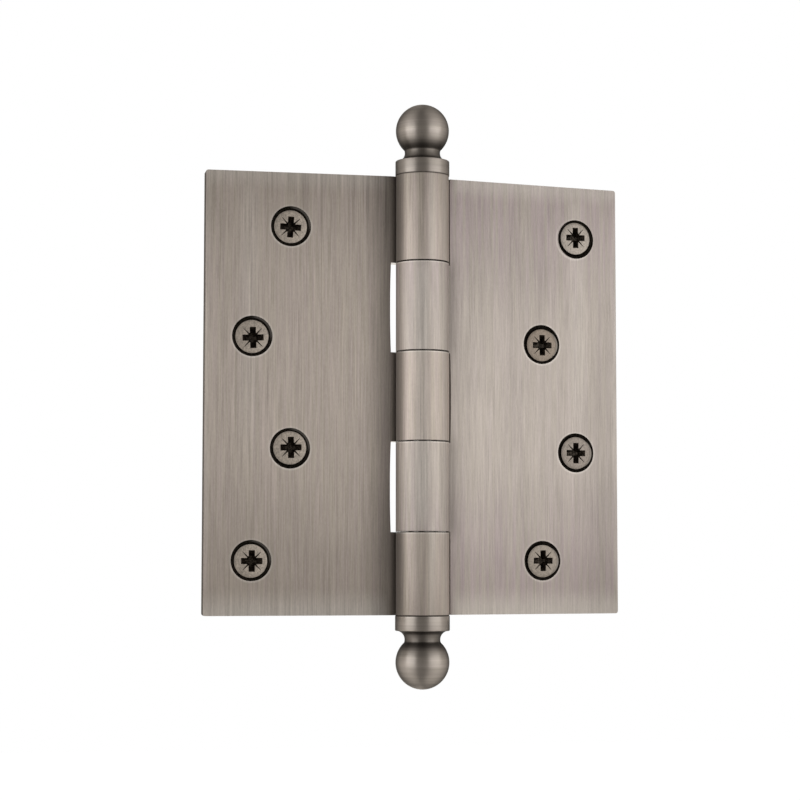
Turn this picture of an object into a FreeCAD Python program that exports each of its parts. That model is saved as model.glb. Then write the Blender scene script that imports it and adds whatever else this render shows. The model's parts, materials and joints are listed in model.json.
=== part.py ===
import FreeCAD, Part
import math
import os
import Sketcher

# A ball-tipped butt hinge, drawn standing open a little past flat.
#
# +Z runs up along the hinge pin. The origin lies on the back of the frame leaf, level with the middle
# of the leaf and half way between its two columns of screws. The frame leaf lies along -X from the pin
# and the door leaf along +X. Both show their countersunk faces to -Y, and their backs, which bear on
# the frame and on the door, face +Y.

DIMENSIONS = (
    # Leaves: two strips of plate whose ends are rolled round the pin.
    ("leaf_height", 101.6, "height of each leaf"),
    ("leaf_width", 50.4, "pin axis to the outer edge of a leaf"),
    ("leaf_thickness", 2.9, "plate thickness, also the wall of a rolled knuckle"),
    ("leaf_corner", 0.6, "corner radius of a leaf"),
    ("closed_gap", 1.6, "between the two countersunk faces when the hinge is shut"),
    ("rest_angle", 9.5, "how far past flat the hinge stands open, in degrees"),
    ("swage_angle", 22, "slope of the strip between the flat leaf and the knuckle, in degrees"),
    ("swage_bend", 1.0, "inner radius of the bend where the slope begins"),
    ("seam_gap", 0.35, "rolled end of a knuckle, below the level of its leaf's face"),
    ("notch_clearance", 1.18, "barrel to the edge of the other leaf"),
    # Knuckles, counted from the top: 1, 3 and 5 are the frame leaf's, 2 and 4 the door leaf's.
    ("top_knuckle", 20.4, "top of the leaf to the middle of the first joint"),
    ("knuckle_pitch", 20.75, "joint to joint along the middle knuckles"),
    ("knuckle_gap", 0.25, "clearance between two knuckles"),
    # Pin.
    ("pin_radius", 3.175, "radius of the pin"),
    ("pin_clearance", 0.075, "pin to the bore of a knuckle"),
    ("pin_shoulder", 0.675, "step from the pin to its threaded upper end"),
    ("pin_thread", 6.5, "length of the threaded upper end"),
    ("pin_chamfer", 0.8, "chamfer at the lower end of the pin"),
    # Ball tips, measured from the face that seats on the barrel.
    ("tip_gap", 0.1, "bottom tip to the end of the barrel"),
    ("collar_overhang", 0.13, "collar beyond the barrel"),
    ("collar_height", 3.5, "seat to the end of the collar"),
    ("collar_edge", 0.12, "chamfer on both edges of the collar"),
    ("collar_land", 0.18, "edge of the collar to the cove"),
    ("cove_radius", 2.0, "radius of the turned cove between collar and ball"),
    ("crease_rise", 0.125, "neck to the crease where the cove meets the ball"),
    ("ball_radius", 6.18, "radius of the ball"),
    ("tap_clearance", 0.5, "end of the pin's thread to the bottom of the tapped hole"),
    ("stem_length", 8.0, "stem of the bottom tip"),
    ("stem_clearance", 0.6, "lower end of the pin to the stem"),
    # Screws, in two columns and four rows on each leaf.
    ("screw_pitch", 25.55, "row to row"),
    ("near_column", 30.7, "pin axis to the nearer column of screws"),
    ("far_column", 39.5, "pin axis to the farther column of screws"),
    ("hole_radius", 2.4, "clearance hole in the leaf"),
    ("sink_radius", 4.65, "countersink at the face of the leaf"),
    ("sink_angle", 90, "angle of the countersink and of the screw's head, in degrees"),
    ("head_radius", 3.8, "rim of the screw's head"),
    ("head_land", 0.1, "height of the rim"),
    ("shank_radius", 2.2, "plain shank under the head"),
    ("thread_radius", 2.0, "threaded shank behind the leaf"),
    ("screw_length", 25.0, "top of the head to the point"),
    ("point_length", 4.5, "tapered point"),
    ("recess_reach", 2.35, "centre of the head to the end of an arm of the cross recess"),
    ("recess_width", 1.25, "width of an arm"),
    ("recess_depth", 1.9, "depth of the recess"),
    ("recess_taper", 0.5, "size of the recess at its floor, as a share of its mouth"),
)

# Sizes that several pieces share, as expressions of the sheet's cells.
BORE_RADIUS = "(Dimensions.pin_radius + Dimensions.pin_clearance)"
BARREL_RADIUS = f"({BORE_RADIUS} + Dimensions.leaf_thickness)"
COLLAR_RADIUS = f"({BARREL_RADIUS} + Dimensions.collar_overhang)"
THREADED_END_RADIUS = "(Dimensions.pin_radius - Dimensions.pin_shoulder)"
LEAF_FACE = "(Dimensions.closed_gap / 2)"
LEAF_BACK = "(Dimensions.closed_gap / 2 + Dimensions.leaf_thickness)"
BARREL_TOP = "(Dimensions.leaf_height / 2)"
PIN_X = "((Dimensions.near_column + Dimensions.far_column) / 2)"
PIN_Y = f"(-{LEAF_BACK})"
SINK_SLOPE = "tan(Dimensions.sink_angle / 2 * 1 deg)"
HEAD_DEPTH = f"((Dimensions.sink_radius - Dimensions.head_radius) / {SINK_SLOPE} - Dimensions.head_land)"

FRAME_SIDE = -1
DOOR_SIDE = 1
COLUMNS = ("near_column", "far_column")
ROWS = 4

doc = FreeCAD.newDocument("DoorHinge")
sheet = doc.addObject("Spreadsheet::Sheet", "Dimensions")
for row, (alias, size, meaning) in enumerate(DIMENSIONS, start=1):
    sheet.set(f"A{row}", meaning)
    sheet.set(f"B{row}", str(size))
    sheet.setAlias(f"B{row}", alias)
doc.recompute()


def size_of(alias):
    """The number in one cell of the sheet."""
    return float(sheet.get(alias))


bore_radius = size_of("pin_radius") + size_of("pin_clearance")
barrel_radius = bore_radius + size_of("leaf_thickness")
threaded_end_radius = size_of("pin_radius") - size_of("pin_shoulder")


# ---------------------------------------------------------------- sketch helpers


def new_body(label):
    body = doc.addObject("PartDesign::Body", label)
    body.Label = label
    return body


def new_sketch(body, name, plane, lift=None):
    """A sketch on one of the body's own origin planes, raised along its normal by an expression."""
    sketch = body.newObject("Sketcher::SketchObject", name)
    support = next(feature for feature in body.Origin.OriginFeatures if feature.Role == plane)
    sketch.AttachmentSupport = (support, [""])
    sketch.MapMode = "FlatFace"
    if lift is not None:
        sketch.setExpression("AttachmentOffset.Base.z", lift)
    return sketch


def constrain(sketch, expression, kind, *where):
    """Add one constraint. With an expression it is a dimension, whose last argument is its first value."""
    number = sketch.addConstraint(Sketcher.Constraint(kind, *where))
    if expression is not None:
        sketch.setExpression(f"Constraints[{number}]", expression)


def line(start, end):
    return Part.LineSegment(FreeCAD.Vector(*start, 0), FreeCAD.Vector(*end, 0))


def arc(centre, radius, start, end, side=1):
    """An arc that runs anticlockwise between two angles in degrees, or its mirror image in the Y axis."""
    if side < 0:
        start, end = 180 - end, 180 - start
    middle = FreeCAD.Vector(side * centre[0], centre[1], 0)
    circle = Part.Circle(middle, FreeCAD.Vector(0, 0, 1), radius)
    return Part.ArcOfCircle(circle, math.radians(start), math.radians(end))


def around(radius, degrees, side=1):
    angle = math.radians(degrees)
    return (side * radius * math.cos(angle), radius * math.sin(angle))


def ends_that_meet(sketch, first, second):
    """The two end numbers, 1 or 2, at which two edges of a sketch lie nearest."""

    def distance(pair):
        return (sketch.getPoint(first, pair[0]) - sketch.getPoint(second, pair[1])).Length

    return min(((1, 1), (1, 2), (2, 1), (2, 2)), key=distance)


def add_outline(sketch, edges, smooth=()):
    """Add edges end to end as a closed outline.

    An edge whose number is in smooth runs on tangent into the next one.
    """
    numbers = [sketch.addGeometry(edge, False) for edge in edges]
    for place, number in enumerate(numbers):
        following = numbers[(place + 1) % len(numbers)]
        first_end, second_end = ends_that_meet(sketch, number, following)
        kind = "Tangent" if place in smooth else "Coincident"
        constrain(sketch, None, kind, number, first_end, following, second_end)
    return numbers


def end_near(sketch, edge, point):
    """The end number of an edge that lies nearest to a point."""
    target = FreeCAD.Vector(*point, 0)
    return min((1, 2), key=lambda end: (sketch.getPoint(edge, end) - target).Length)


def across(sketch, side, expression, edge, end, value):
    """Hold a point of a sketch at a distance to one side of the sketch's origin."""
    if side > 0:
        constrain(sketch, expression, "DistanceX", -1, 1, edge, end, value)
    else:
        constrain(sketch, expression, "DistanceX", edge, end, -1, 1, value)


def hold_level(sketch, expression, edge, end, value):
    """Hold a point at a height above the sketch's X axis, or below it if the value now is negative."""
    if value > 0:
        constrain(sketch, expression, "DistanceY", -1, 1, edge, end, value)
    else:
        constrain(sketch, f"-({expression})", "DistanceY", edge, end, -1, 1, -value)


def revolve(body, name, sketch):
    turned = body.newObject("PartDesign::Revolution", name)
    turned.Profile = (sketch, [""])
    turned.ReferenceAxis = (sketch, ["V_Axis"])
    turned.Angle = 360
    return turned


def turning(body, name, plane, points, expressions):
    """Revolve straight-sided steps about the sketch's upright axis.

    points are radius and height. expressions give each point's radius and height, None standing for a
    point on the axis or on the base.
    """
    sketch = new_sketch(body, f"{name}_profile", plane)
    edges = [line(points[place - 1], points[place]) for place in range(1, len(points))]
    edges.append(line(points[-1], points[0]))
    numbers = add_outline(sketch, edges)
    for number, point, (radius, height) in zip(numbers, points, expressions):
        end = end_near(sketch, number, point)
        if radius is None:
            constrain(sketch, None, "PointOnObject", number, end, -2)
        else:
            constrain(sketch, radius, "DistanceX", -1, 1, number, end, point[0])
        if height is None:
            constrain(sketch, None, "PointOnObject", number, end, -1)
        else:
            hold_level(sketch, height, number, end, point[1])
    return revolve(body, name, sketch)


def round_disc(body, name, radius, radius_now):
    """A circle about the body's Z axis."""
    sketch = new_sketch(body, name, "XY_Plane")
    circle = sketch.addGeometry(
        Part.Circle(FreeCAD.Vector(0, 0, 0), FreeCAD.Vector(0, 0, 1), radius_now), False
    )
    constrain(sketch, None, "Coincident", circle, 3, -1, 1)
    constrain(sketch, radius, "Radius", circle, radius_now)
    return sketch


# ---------------------------------------------------------------- placing


def stand_on_pin(thing, level=None):
    """Move a piece that is drawn about the pin axis to its place in the frame."""
    thing.setExpression("Placement.Base.x", PIN_X)
    thing.setExpression("Placement.Base.y", PIN_Y)
    if level is not None:
        thing.setExpression("Placement.Base.z", level)


def swing_open(thing):
    """Turn a piece of the door side about the pin to where the hinge stands."""
    thing.Placement.Rotation = FreeCAD.Rotation(FreeCAD.Vector(0, 0, 1), size_of("rest_angle"))
    thing.setExpression("Placement.Rotation.Angle", "Dimensions.rest_angle")


# ---------------------------------------------------------------- leaves


def draw_leaf_profile(body, side):
    """The leaf seen from above, with the pin at the sketch's origin.

    The flat plate bends back along a sloping swage, passes behind the pin and is rolled round it, and
    the rolled end closes on the face of the plate.
    """
    thickness = size_of("leaf_thickness")
    face = size_of("closed_gap") / 2
    slope = size_of("swage_angle")
    bore = bore_radius
    barrel = barrel_radius
    bend = size_of("swage_bend")
    width = size_of("leaf_width")
    end_level = face - size_of("seam_gap")

    sin, cos = math.sin(math.radians(slope)), math.cos(math.radians(slope))
    corner = bore * sin + (bore * cos - face) / sin * cos
    bend_start = corner + (bend + thickness) * math.tan(math.radians(slope) / 2)
    bend_centre = (bend_start, face + thickness + bend)
    leaving = 90 - slope
    outer_end = math.degrees(math.asin(end_level / barrel))
    rolled_tip = (math.sqrt(barrel**2 - end_level**2), end_level)
    # The rolled end is cut parallel to the swage. Its line crosses the bore here.
    offset = rolled_tip[0] * sin + rolled_tip[1] * cos
    inner_end = leaving - math.degrees(math.acos(offset / bore))

    def at(radius, degrees):
        return around(radius, degrees, side)

    def bent(radius, degrees):
        x, y = around(radius, degrees)
        return (side * (bend_centre[0] + x), bend_centre[1] + y)

    start_of_bend = 270 - slope
    edges = (
        line((side * width, face), bent(bend + thickness, 270)),
        arc(bend_centre, bend + thickness, start_of_bend, 270, side),
        line(bent(bend + thickness, start_of_bend), at(bore, leaving)),
        arc((0, 0), bore, leaving, 360 + inner_end, side),
        line(at(bore, inner_end), at(barrel, outer_end)),
        arc((0, 0), barrel, leaving, 360 + outer_end, side),
        line(at(barrel, leaving), bent(bend, start_of_bend)),
        arc(bend_centre, bend, start_of_bend, 270, side),
        line(bent(bend, 270), (side * width, face + thickness)),
        line((side * width, face + thickness), (side * width, face)),
    )
    sketch = new_sketch(body, f"{body.Label}_profile", "XY_Plane")
    numbers = add_outline(sketch, edges, smooth=(0, 1, 2, 5, 6, 7))
    front, front_bend, front_slope, inside, cut, outside, back_slope, back_bend, back, edge = numbers
    front_bend_rule = "Dimensions.swage_bend + Dimensions.leaf_thickness"
    rolled_end_rule = f"{LEAF_FACE} - Dimensions.seam_gap"
    outer_edge_end = end_near(sketch, front, (side * width, face))
    rolled_end = end_near(sketch, outside, at(barrel, outer_end))
    constrain(sketch, None, "Horizontal", front)
    constrain(sketch, None, "Horizontal", back)
    constrain(sketch, None, "Vertical", edge)
    constrain(sketch, None, "Parallel", front_slope, back_slope)
    constrain(sketch, None, "Parallel", front_slope, cut)
    constrain(sketch, None, "Coincident", inside, 3, -1, 1)
    constrain(sketch, None, "Coincident", outside, 3, -1, 1)
    constrain(sketch, BORE_RADIUS, "Radius", inside, bore)
    constrain(sketch, BARREL_RADIUS, "Radius", outside, barrel)
    constrain(sketch, "Dimensions.swage_bend", "Radius", back_bend, bend)
    constrain(sketch, front_bend_rule, "Radius", front_bend, bend + thickness)
    constrain(sketch, LEAF_FACE, "DistanceY", -1, 1, front, outer_edge_end, face)
    constrain(sketch, rolled_end_rule, "DistanceY", -1, 1, outside, rolled_end, end_level)
    across(sketch, side, "Dimensions.leaf_width", front, outer_edge_end, width)
    return sketch


def joint_level(number):
    """Height of the middle of a joint between two knuckles, as an expression, joint 1 being the highest."""
    return f"({BARREL_TOP} - Dimensions.top_knuckle - {number - 1} * Dimensions.knuckle_pitch)"


def cut_notches(body, side, spans):
    """Cut the leaf away where the other leaf's knuckles turn. spans are the joints above and below each."""
    half_height = size_of("leaf_height") / 2
    far_edge = side * (barrel_radius + size_of("notch_clearance"))
    near_edge = -side * 2 * barrel_radius
    half_gap = size_of("knuckle_gap") / 2
    overrun = size_of("knuckle_pitch") / 2

    def level_now(number):
        return half_height - size_of("top_knuckle") - (number - 1) * size_of("knuckle_pitch")

    sketch = new_sketch(body, f"{body.Label}_notches", "XZ_Plane")
    for upper, lower in spans:
        top = half_height + overrun if upper is None else level_now(upper) + half_gap
        bottom = -half_height - overrun if lower is None else level_now(lower) - half_gap
        corners = ((near_edge, top), (far_edge, top), (far_edge, bottom), (near_edge, bottom))
        edges = [line(corners[place], corners[(place + 1) % 4]) for place in range(4)]
        above, beside, below, inner = add_outline(sketch, edges)
        for level in (above, below):
            constrain(sketch, None, "Horizontal", level)
        for upright in (beside, inner):
            constrain(sketch, None, "Vertical", upright)
        far_top = end_near(sketch, beside, corners[1])
        far_bottom = end_near(sketch, beside, corners[2])
        inner_top = end_near(sketch, inner, corners[0])
        across(sketch, side, f"{BARREL_RADIUS} + Dimensions.notch_clearance", beside, far_top, abs(far_edge))
        across(sketch, -side, f"2 * {BARREL_RADIUS}", inner, inner_top, abs(near_edge))
        if upper is None:
            top_rule = f"{BARREL_TOP} + Dimensions.knuckle_pitch / 2"
        else:
            top_rule = f"{joint_level(upper)} + Dimensions.knuckle_gap / 2"
        if lower is None:
            bottom_rule = f"-{BARREL_TOP} - Dimensions.knuckle_pitch / 2"
        else:
            bottom_rule = f"{joint_level(lower)} - Dimensions.knuckle_gap / 2"
        hold_level(sketch, top_rule, beside, far_top, top)
        hold_level(sketch, bottom_rule, beside, far_bottom, bottom)
    notches = body.newObject("PartDesign::Pocket", f"{body.Label}_notch_cut")
    notches.Profile = (sketch, [""])
    notches.SideType = "Symmetric"
    notches.Type = "ThroughAll"
    return notches


def row_level(row):
    """Height of a row of screws, as an expression, row 0 being the highest."""
    return f"({(ROWS - 1) / 2 - row} * Dimensions.screw_pitch)"


def drill_screw_holes(body, side, first_column):
    """Four countersunk holes that alternate between two columns from the top row down."""
    sketch = new_sketch(body, f"{body.Label}_hole_centres", "XZ_Plane", lift=f"-{LEAF_FACE}")
    radius = size_of("hole_radius")
    for row in range(ROWS):
        column = COLUMNS[(first_column + row) % 2]
        place = FreeCAD.Vector(side * size_of(column), ((ROWS - 1) / 2 - row) * size_of("screw_pitch"), 0)
        circle = sketch.addGeometry(Part.Circle(place, FreeCAD.Vector(0, 0, 1), radius), False)
        constrain(sketch, "Dimensions.hole_radius", "Radius", circle, radius)
        across(sketch, side, f"Dimensions.{column}", circle, 3, size_of(column))
        hold_level(sketch, row_level(row), circle, 3, place.y)
    doc.recompute()
    holes = body.newObject("PartDesign::Hole", f"{body.Label}_screw_holes")
    holes.Profile = (sketch, [""])
    holes.ThreadType = "None"
    holes.DepthType = "ThroughAll"
    holes.HoleCutType = "Countersink"
    holes.HoleCutCustomValues = True
    holes.setExpression("Diameter", "2 * Dimensions.hole_radius")
    holes.setExpression("HoleCutDiameter", "2 * Dimensions.sink_radius")
    holes.setExpression("HoleCutCountersinkAngle", "Dimensions.sink_angle")
    return holes


def round_outer_corners(body, side, solid):
    """Round the two corners of the leaf that lie farthest from the pin."""
    outer = side * size_of("leaf_width")
    names = []
    for number, edge in enumerate(solid.Shape.Edges, start=1):
        on_outer_edge = all(abs(vertex.X - outer) < 0.001 for vertex in edge.Vertexes)
        if on_outer_edge and abs(edge.tangentAt(0).z) < 0.5:
            names.append(f"Edge{number}")
    fillet = body.newObject("PartDesign::Fillet", f"{body.Label}_corners")
    fillet.Base = (solid, names)
    fillet.setExpression("Radius", "Dimensions.leaf_corner")
    return fillet


def build_leaf(label, side, spans, first_column):
    """One leaf in its own frame: pin axis on Z, leaf along X to the given side, back facing +Y."""
    body = new_body(label)
    profile = draw_leaf_profile(body, side)
    plate = body.newObject("PartDesign::Pad", f"{label}_plate")
    plate.Profile = (profile, [""])
    plate.SideType = "Symmetric"
    plate.setExpression("Length", "Dimensions.leaf_height")
    doc.recompute()
    whole = plate.Shape.Volume
    cut_notches(body, side, spans)
    doc.recompute()
    notched = body.Shape.Volume
    drill_screw_holes(body, side, first_column)
    doc.recompute()
    drilled = body.Tip
    if not whole > notched > drilled.Shape.Volume:
        raise RuntimeError(f"{label}: a notch or a hole cut nothing")
    round_outer_corners(body, side, drilled)
    stand_on_pin(body)
    return body


frame_leaf = build_leaf("frame_leaf", FRAME_SIDE, spans=((1, 2), (3, 4)), first_column=0)
door_leaf = build_leaf("door_leaf", DOOR_SIDE, spans=((None, 1), (2, 3), (4, None)), first_column=1)
swing_open(door_leaf)


# ---------------------------------------------------------------- pin


def build_pin():
    """The pin hangs from z = 0, level with the top of the barrel. Its threaded end stands above that."""
    body = new_body("hinge_pin")
    radius = size_of("pin_radius")
    threaded = threaded_end_radius
    chamfer = size_of("pin_chamfer")
    top = size_of("pin_thread")
    stem = size_of("stem_length") - size_of("tip_gap") + size_of("stem_clearance")
    bottom = stem - size_of("leaf_height")
    stem_rule = "(Dimensions.stem_length - Dimensions.tip_gap + Dimensions.stem_clearance)"
    bottom_rule = f"({stem_rule} - Dimensions.leaf_height)"
    points = (
        (0, bottom),
        (radius - chamfer, bottom),
        (radius, bottom + chamfer),
        (radius, 0),
        (threaded, 0),
        (threaded, top),
        (0, top),
    )
    expressions = (
        (None, bottom_rule),
        ("Dimensions.pin_radius - Dimensions.pin_chamfer", bottom_rule),
        ("Dimensions.pin_radius", f"{bottom_rule} + Dimensions.pin_chamfer"),
        ("Dimensions.pin_radius", None),
        (THREADED_END_RADIUS, None),
        (THREADED_END_RADIUS, "Dimensions.pin_thread"),
        (None, "Dimensions.pin_thread"),
    )
    turning(body, "pin_turning", "XZ_Plane", points, expressions)
    stand_on_pin(body, BARREL_TOP)
    return body


hinge_pin = build_pin()


# ---------------------------------------------------------------- ball tips


def turn_tip(body):
    """Collar, cove and ball, turned about Z, with the seat on z = 0 and the ball above it."""
    collar = barrel_radius + size_of("collar_overhang")
    height = size_of("collar_height")
    edge = size_of("collar_edge")
    cove = size_of("cove_radius")
    ball = size_of("ball_radius")
    cove_centre = (collar - size_of("collar_land"), height + cove)
    neck = cove_centre[0] - cove
    crease = neck + size_of("crease_rise")
    crease_angle = math.degrees(math.acos((crease - cove_centre[0]) / cove))
    crease_height = cove_centre[1] + cove * math.sin(math.radians(crease_angle))
    ball_centre = (0, crease_height + math.sqrt(ball**2 - crease**2))
    ball_start = -math.degrees(math.acos(crease / ball))

    edges = (
        line((0, 0), (collar - edge, 0)),
        line((collar - edge, 0), (collar, edge)),
        line((collar, edge), (collar, height - edge)),
        line((collar, height - edge), (collar - edge, height)),
        line((collar - edge, height), (cove_centre[0], height)),
        arc(cove_centre, cove, crease_angle, 270),
        arc(ball_centre, ball, ball_start, 90),
        line((0, ball_centre[1] + ball), (0, 0)),
    )
    sketch = new_sketch(body, f"{body.Label}_profile", "XZ_Plane")
    seat, lower_edge, wall, upper_edge, land, hollow, globe, axis = add_outline(sketch, edges, smooth=(4,))
    for level in (seat, land):
        constrain(sketch, None, "Horizontal", level)
    for upright in (wall, axis):
        constrain(sketch, None, "Vertical", upright)
    constrain(sketch, None, "PointOnObject", globe, 3, -2)
    constrain(sketch, None, "Coincident", axis, end_near(sketch, axis, (0, 0)), -1, 1)
    wall_low = end_near(sketch, wall, (collar, edge))
    wall_high = end_near(sketch, wall, (collar, height - edge))
    seat_end = end_near(sketch, seat, (collar - edge, 0))
    land_end = end_near(sketch, land, (collar - edge, height))
    crease_end = end_near(sketch, hollow, (crease, crease_height))
    face_rule = f"{COLLAR_RADIUS} - Dimensions.collar_edge"
    wall_top_rule = "Dimensions.collar_height - Dimensions.collar_edge"
    cove_rule = f"({COLLAR_RADIUS} - Dimensions.collar_land)"
    crease_rule = f"{cove_rule} - Dimensions.cove_radius + Dimensions.crease_rise"
    constrain(sketch, COLLAR_RADIUS, "DistanceX", -1, 1, wall, wall_low, collar)
    constrain(sketch, face_rule, "DistanceX", -1, 1, seat, seat_end, collar - edge)
    constrain(sketch, face_rule, "DistanceX", -1, 1, land, land_end, collar - edge)
    constrain(sketch, cove_rule, "DistanceX", -1, 1, hollow, 3, cove_centre[0])
    constrain(sketch, crease_rule, "DistanceX", -1, 1, hollow, crease_end, crease)
    hold_level(sketch, "Dimensions.collar_edge", wall, wall_low, edge)
    hold_level(sketch, wall_top_rule, wall, wall_high, height - edge)
    hold_level(sketch, "Dimensions.collar_height", land, land_end, height)
    constrain(sketch, "Dimensions.cove_radius", "Radius", hollow, cove)
    constrain(sketch, "Dimensions.ball_radius", "Radius", globe, ball)
    return revolve(body, f"{body.Label}_turning", sketch)


def build_top_tip():
    """The upper tip is tapped to screw down on the threaded end of the pin."""
    body = new_body("top_ball_tip")
    turn_tip(body)
    doc.recompute()
    solid = body.Shape.Volume
    mouth = round_disc(body, "top_ball_tip_tapping", THREADED_END_RADIUS, threaded_end_radius)
    tapping = body.newObject("PartDesign::Pocket", "top_ball_tip_tapped_hole")
    tapping.Profile = (mouth, [""])
    tapping.Reversed = True
    tapping.setExpression("Length", "Dimensions.pin_thread + Dimensions.tap_clearance")
    doc.recompute()
    if not body.Shape.Volume < solid:
        raise RuntimeError("top_ball_tip: the tapped hole cut nothing")
    stand_on_pin(body, BARREL_TOP)
    return body


def build_bottom_tip():
    """The lower tip has a stem that is screwed into the bore of the bottom knuckle."""
    body = new_body("bottom_ball_tip")
    turn_tip(body)
    stem_circle = round_disc(body, "bottom_ball_tip_stem_circle", BORE_RADIUS, bore_radius)
    stem = body.newObject("PartDesign::Pad", "bottom_ball_tip_stem")
    stem.Profile = (stem_circle, [""])
    stem.Reversed = True
    stem.setExpression("Length", "Dimensions.stem_length")
    body.Placement.Rotation = FreeCAD.Rotation(FreeCAD.Vector(1, 0, 0), 180)
    stand_on_pin(body, f"-{BARREL_TOP} - Dimensions.tip_gap")
    return body


top_ball_tip = build_top_tip()
bottom_ball_tip = build_bottom_tip()


# ---------------------------------------------------------------- screws


def draw_cross(body, name, lift, share, share_now):
    """The outline of the cross recess, scaled by an expression, on a plane across the screw."""
    reach = size_of("recess_reach") * share_now
    half = size_of("recess_width") / 2 * share_now
    sketch = new_sketch(body, name, "XZ_Plane", lift)
    points = []
    for turn in range(4):
        rotation = FreeCAD.Rotation(FreeCAD.Vector(0, 0, 1), 90 * turn)
        for corner in ((half, half), (half, reach), (-half, reach)):
            turned = rotation.multVec(FreeCAD.Vector(*corner, 0))
            points.append((turned.x, turned.y))
    edges = [line(points[place], points[(place + 1) % len(points)]) for place in range(len(points))]
    numbers = add_outline(sketch, edges)
    for number, point in zip(numbers, points):
        end = end_near(sketch, number, point)
        for kind, value in (("DistanceX", point[0]), ("DistanceY", point[1])):
            far = abs(abs(value) - reach) < abs(abs(value) - half)
            rule = "Dimensions.recess_reach" if far else "Dimensions.recess_width / 2"
            if value > 0:
                constrain(sketch, f"{rule} * {share}", kind, -1, 1, number, end, value)
            else:
                constrain(sketch, f"{rule} * {share}", kind, number, end, -1, 1, -value)
    return sketch


def build_screw():
    """A countersunk wood screw that points along +Y, with the top of its head on y = 0."""
    body = new_body("wood_screw")
    head = size_of("head_radius")
    land = size_of("head_land")
    shank = size_of("shank_radius")
    thread = size_of("thread_radius")
    slope = math.tan(math.radians(size_of("sink_angle") / 2))
    head_depth = (size_of("sink_radius") - head) / slope - land
    under_head = land + (head - shank) / slope
    leaf_back = size_of("leaf_thickness") - head_depth
    length = size_of("screw_length")
    shoulder = length - size_of("point_length")
    head_flare_rule = "(Dimensions.head_radius - Dimensions.shank_radius)"
    under_head_rule = f"(Dimensions.head_land + {head_flare_rule} / {SINK_SLOPE})"
    leaf_back_rule = f"(Dimensions.leaf_thickness - {HEAD_DEPTH})"
    points = (
        (0, 0),
        (head, 0),
        (head, land),
        (shank, under_head),
        (shank, leaf_back),
        (thread, leaf_back),
        (thread, shoulder),
        (0, length),
    )
    expressions = (
        (None, None),
        ("Dimensions.head_radius", None),
        ("Dimensions.head_radius", "Dimensions.head_land"),
        ("Dimensions.shank_radius", under_head_rule),
        ("Dimensions.shank_radius", leaf_back_rule),
        ("Dimensions.thread_radius", leaf_back_rule),
        ("Dimensions.thread_radius", "Dimensions.screw_length - Dimensions.point_length"),
        (None, "Dimensions.screw_length"),
    )
    turning(body, "wood_screw_turning", "XY_Plane", points, expressions)
    doc.recompute()
    blank = body.Shape.Volume
    mouth = draw_cross(body, "recess_mouth", None, "1", 1)
    floor = draw_cross(
        body, "recess_floor", "-Dimensions.recess_depth", "Dimensions.recess_taper", size_of("recess_taper")
    )
    recess = body.newObject("PartDesign::SubtractiveLoft", "wood_screw_recess")
    recess.Profile = (mouth, [""])
    recess.Sections = [(floor, [""])]
    recess.Ruled = True
    doc.recompute()
    if not body.Shape.Volume < blank:
        raise RuntimeError("wood_screw: the cross recess cut nothing")
    return body


def place_screws(label, screw, side, first_column):
    """One leaf's four screws, seated in its countersinks, as a group of separate solids."""
    links = []
    for row in range(ROWS):
        column = COLUMNS[(first_column + row) % 2]
        link = doc.addObject("App::Link", f"{label}_{row + 1}")
        link.LinkedObject = screw
        link.setExpression("Placement.Base.x", f"{side} * Dimensions.{column}")
        link.setExpression("Placement.Base.y", f"{LEAF_FACE} + {HEAD_DEPTH}")
        link.setExpression("Placement.Base.z", row_level(row))
        links.append(link)
    group = doc.addObject("Part::Compound", label)
    group.Label = label
    group.Links = links
    stand_on_pin(group)
    return group


wood_screw = build_screw()
frame_leaf_screws = place_screws("frame_leaf_screws", wood_screw, FRAME_SIDE, first_column=0)
door_leaf_screws = place_screws("door_leaf_screws", wood_screw, DOOR_SIDE, first_column=1)
swing_open(door_leaf_screws)


# ---------------------------------------------------------------- check and write

SUB_PARTS = (
    (frame_leaf, 1),
    (door_leaf, 1),
    (hinge_pin, 1),
    (top_ball_tip, 1),
    (bottom_ball_tip, 1),
    (frame_leaf_screws, ROWS),
    (door_leaf_screws, ROWS),
)

doc.recompute()
for thing in doc.Objects:
    if "Invalid" in thing.State or "Error" in thing.State:
        raise RuntimeError(f"{thing.Label} failed: {thing.State}")
for part, solids in SUB_PARTS:
    shape = part.Shape
    if shape.isNull() or not shape.isValid() or len(shape.Solids) != solids:
        raise RuntimeError(f"{part.Label}: the shape is null or invalid, or its solids aren't {solids}")

os.makedirs("parts", exist_ok=True)
for part, solids in SUB_PARTS:
    part.Shape.exportStep(f"parts/{part.Label}.step")
    box = part.Shape.BoundBox
    print(f"{part.Label}: {solids} solid(s), {part.Shape.Volume:.1f} mm3")
    print(f"    x {box.XMin:.2f} to {box.XMax:.2f}")
    print(f"    y {box.YMin:.2f} to {box.YMax:.2f}")
    print(f"    z {box.ZMin:.2f} to {box.ZMax:.2f}")
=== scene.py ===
import json
import math
from functools import partial, reduce

import bmesh
import bpy
from mathutils import Matrix, Vector


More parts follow.
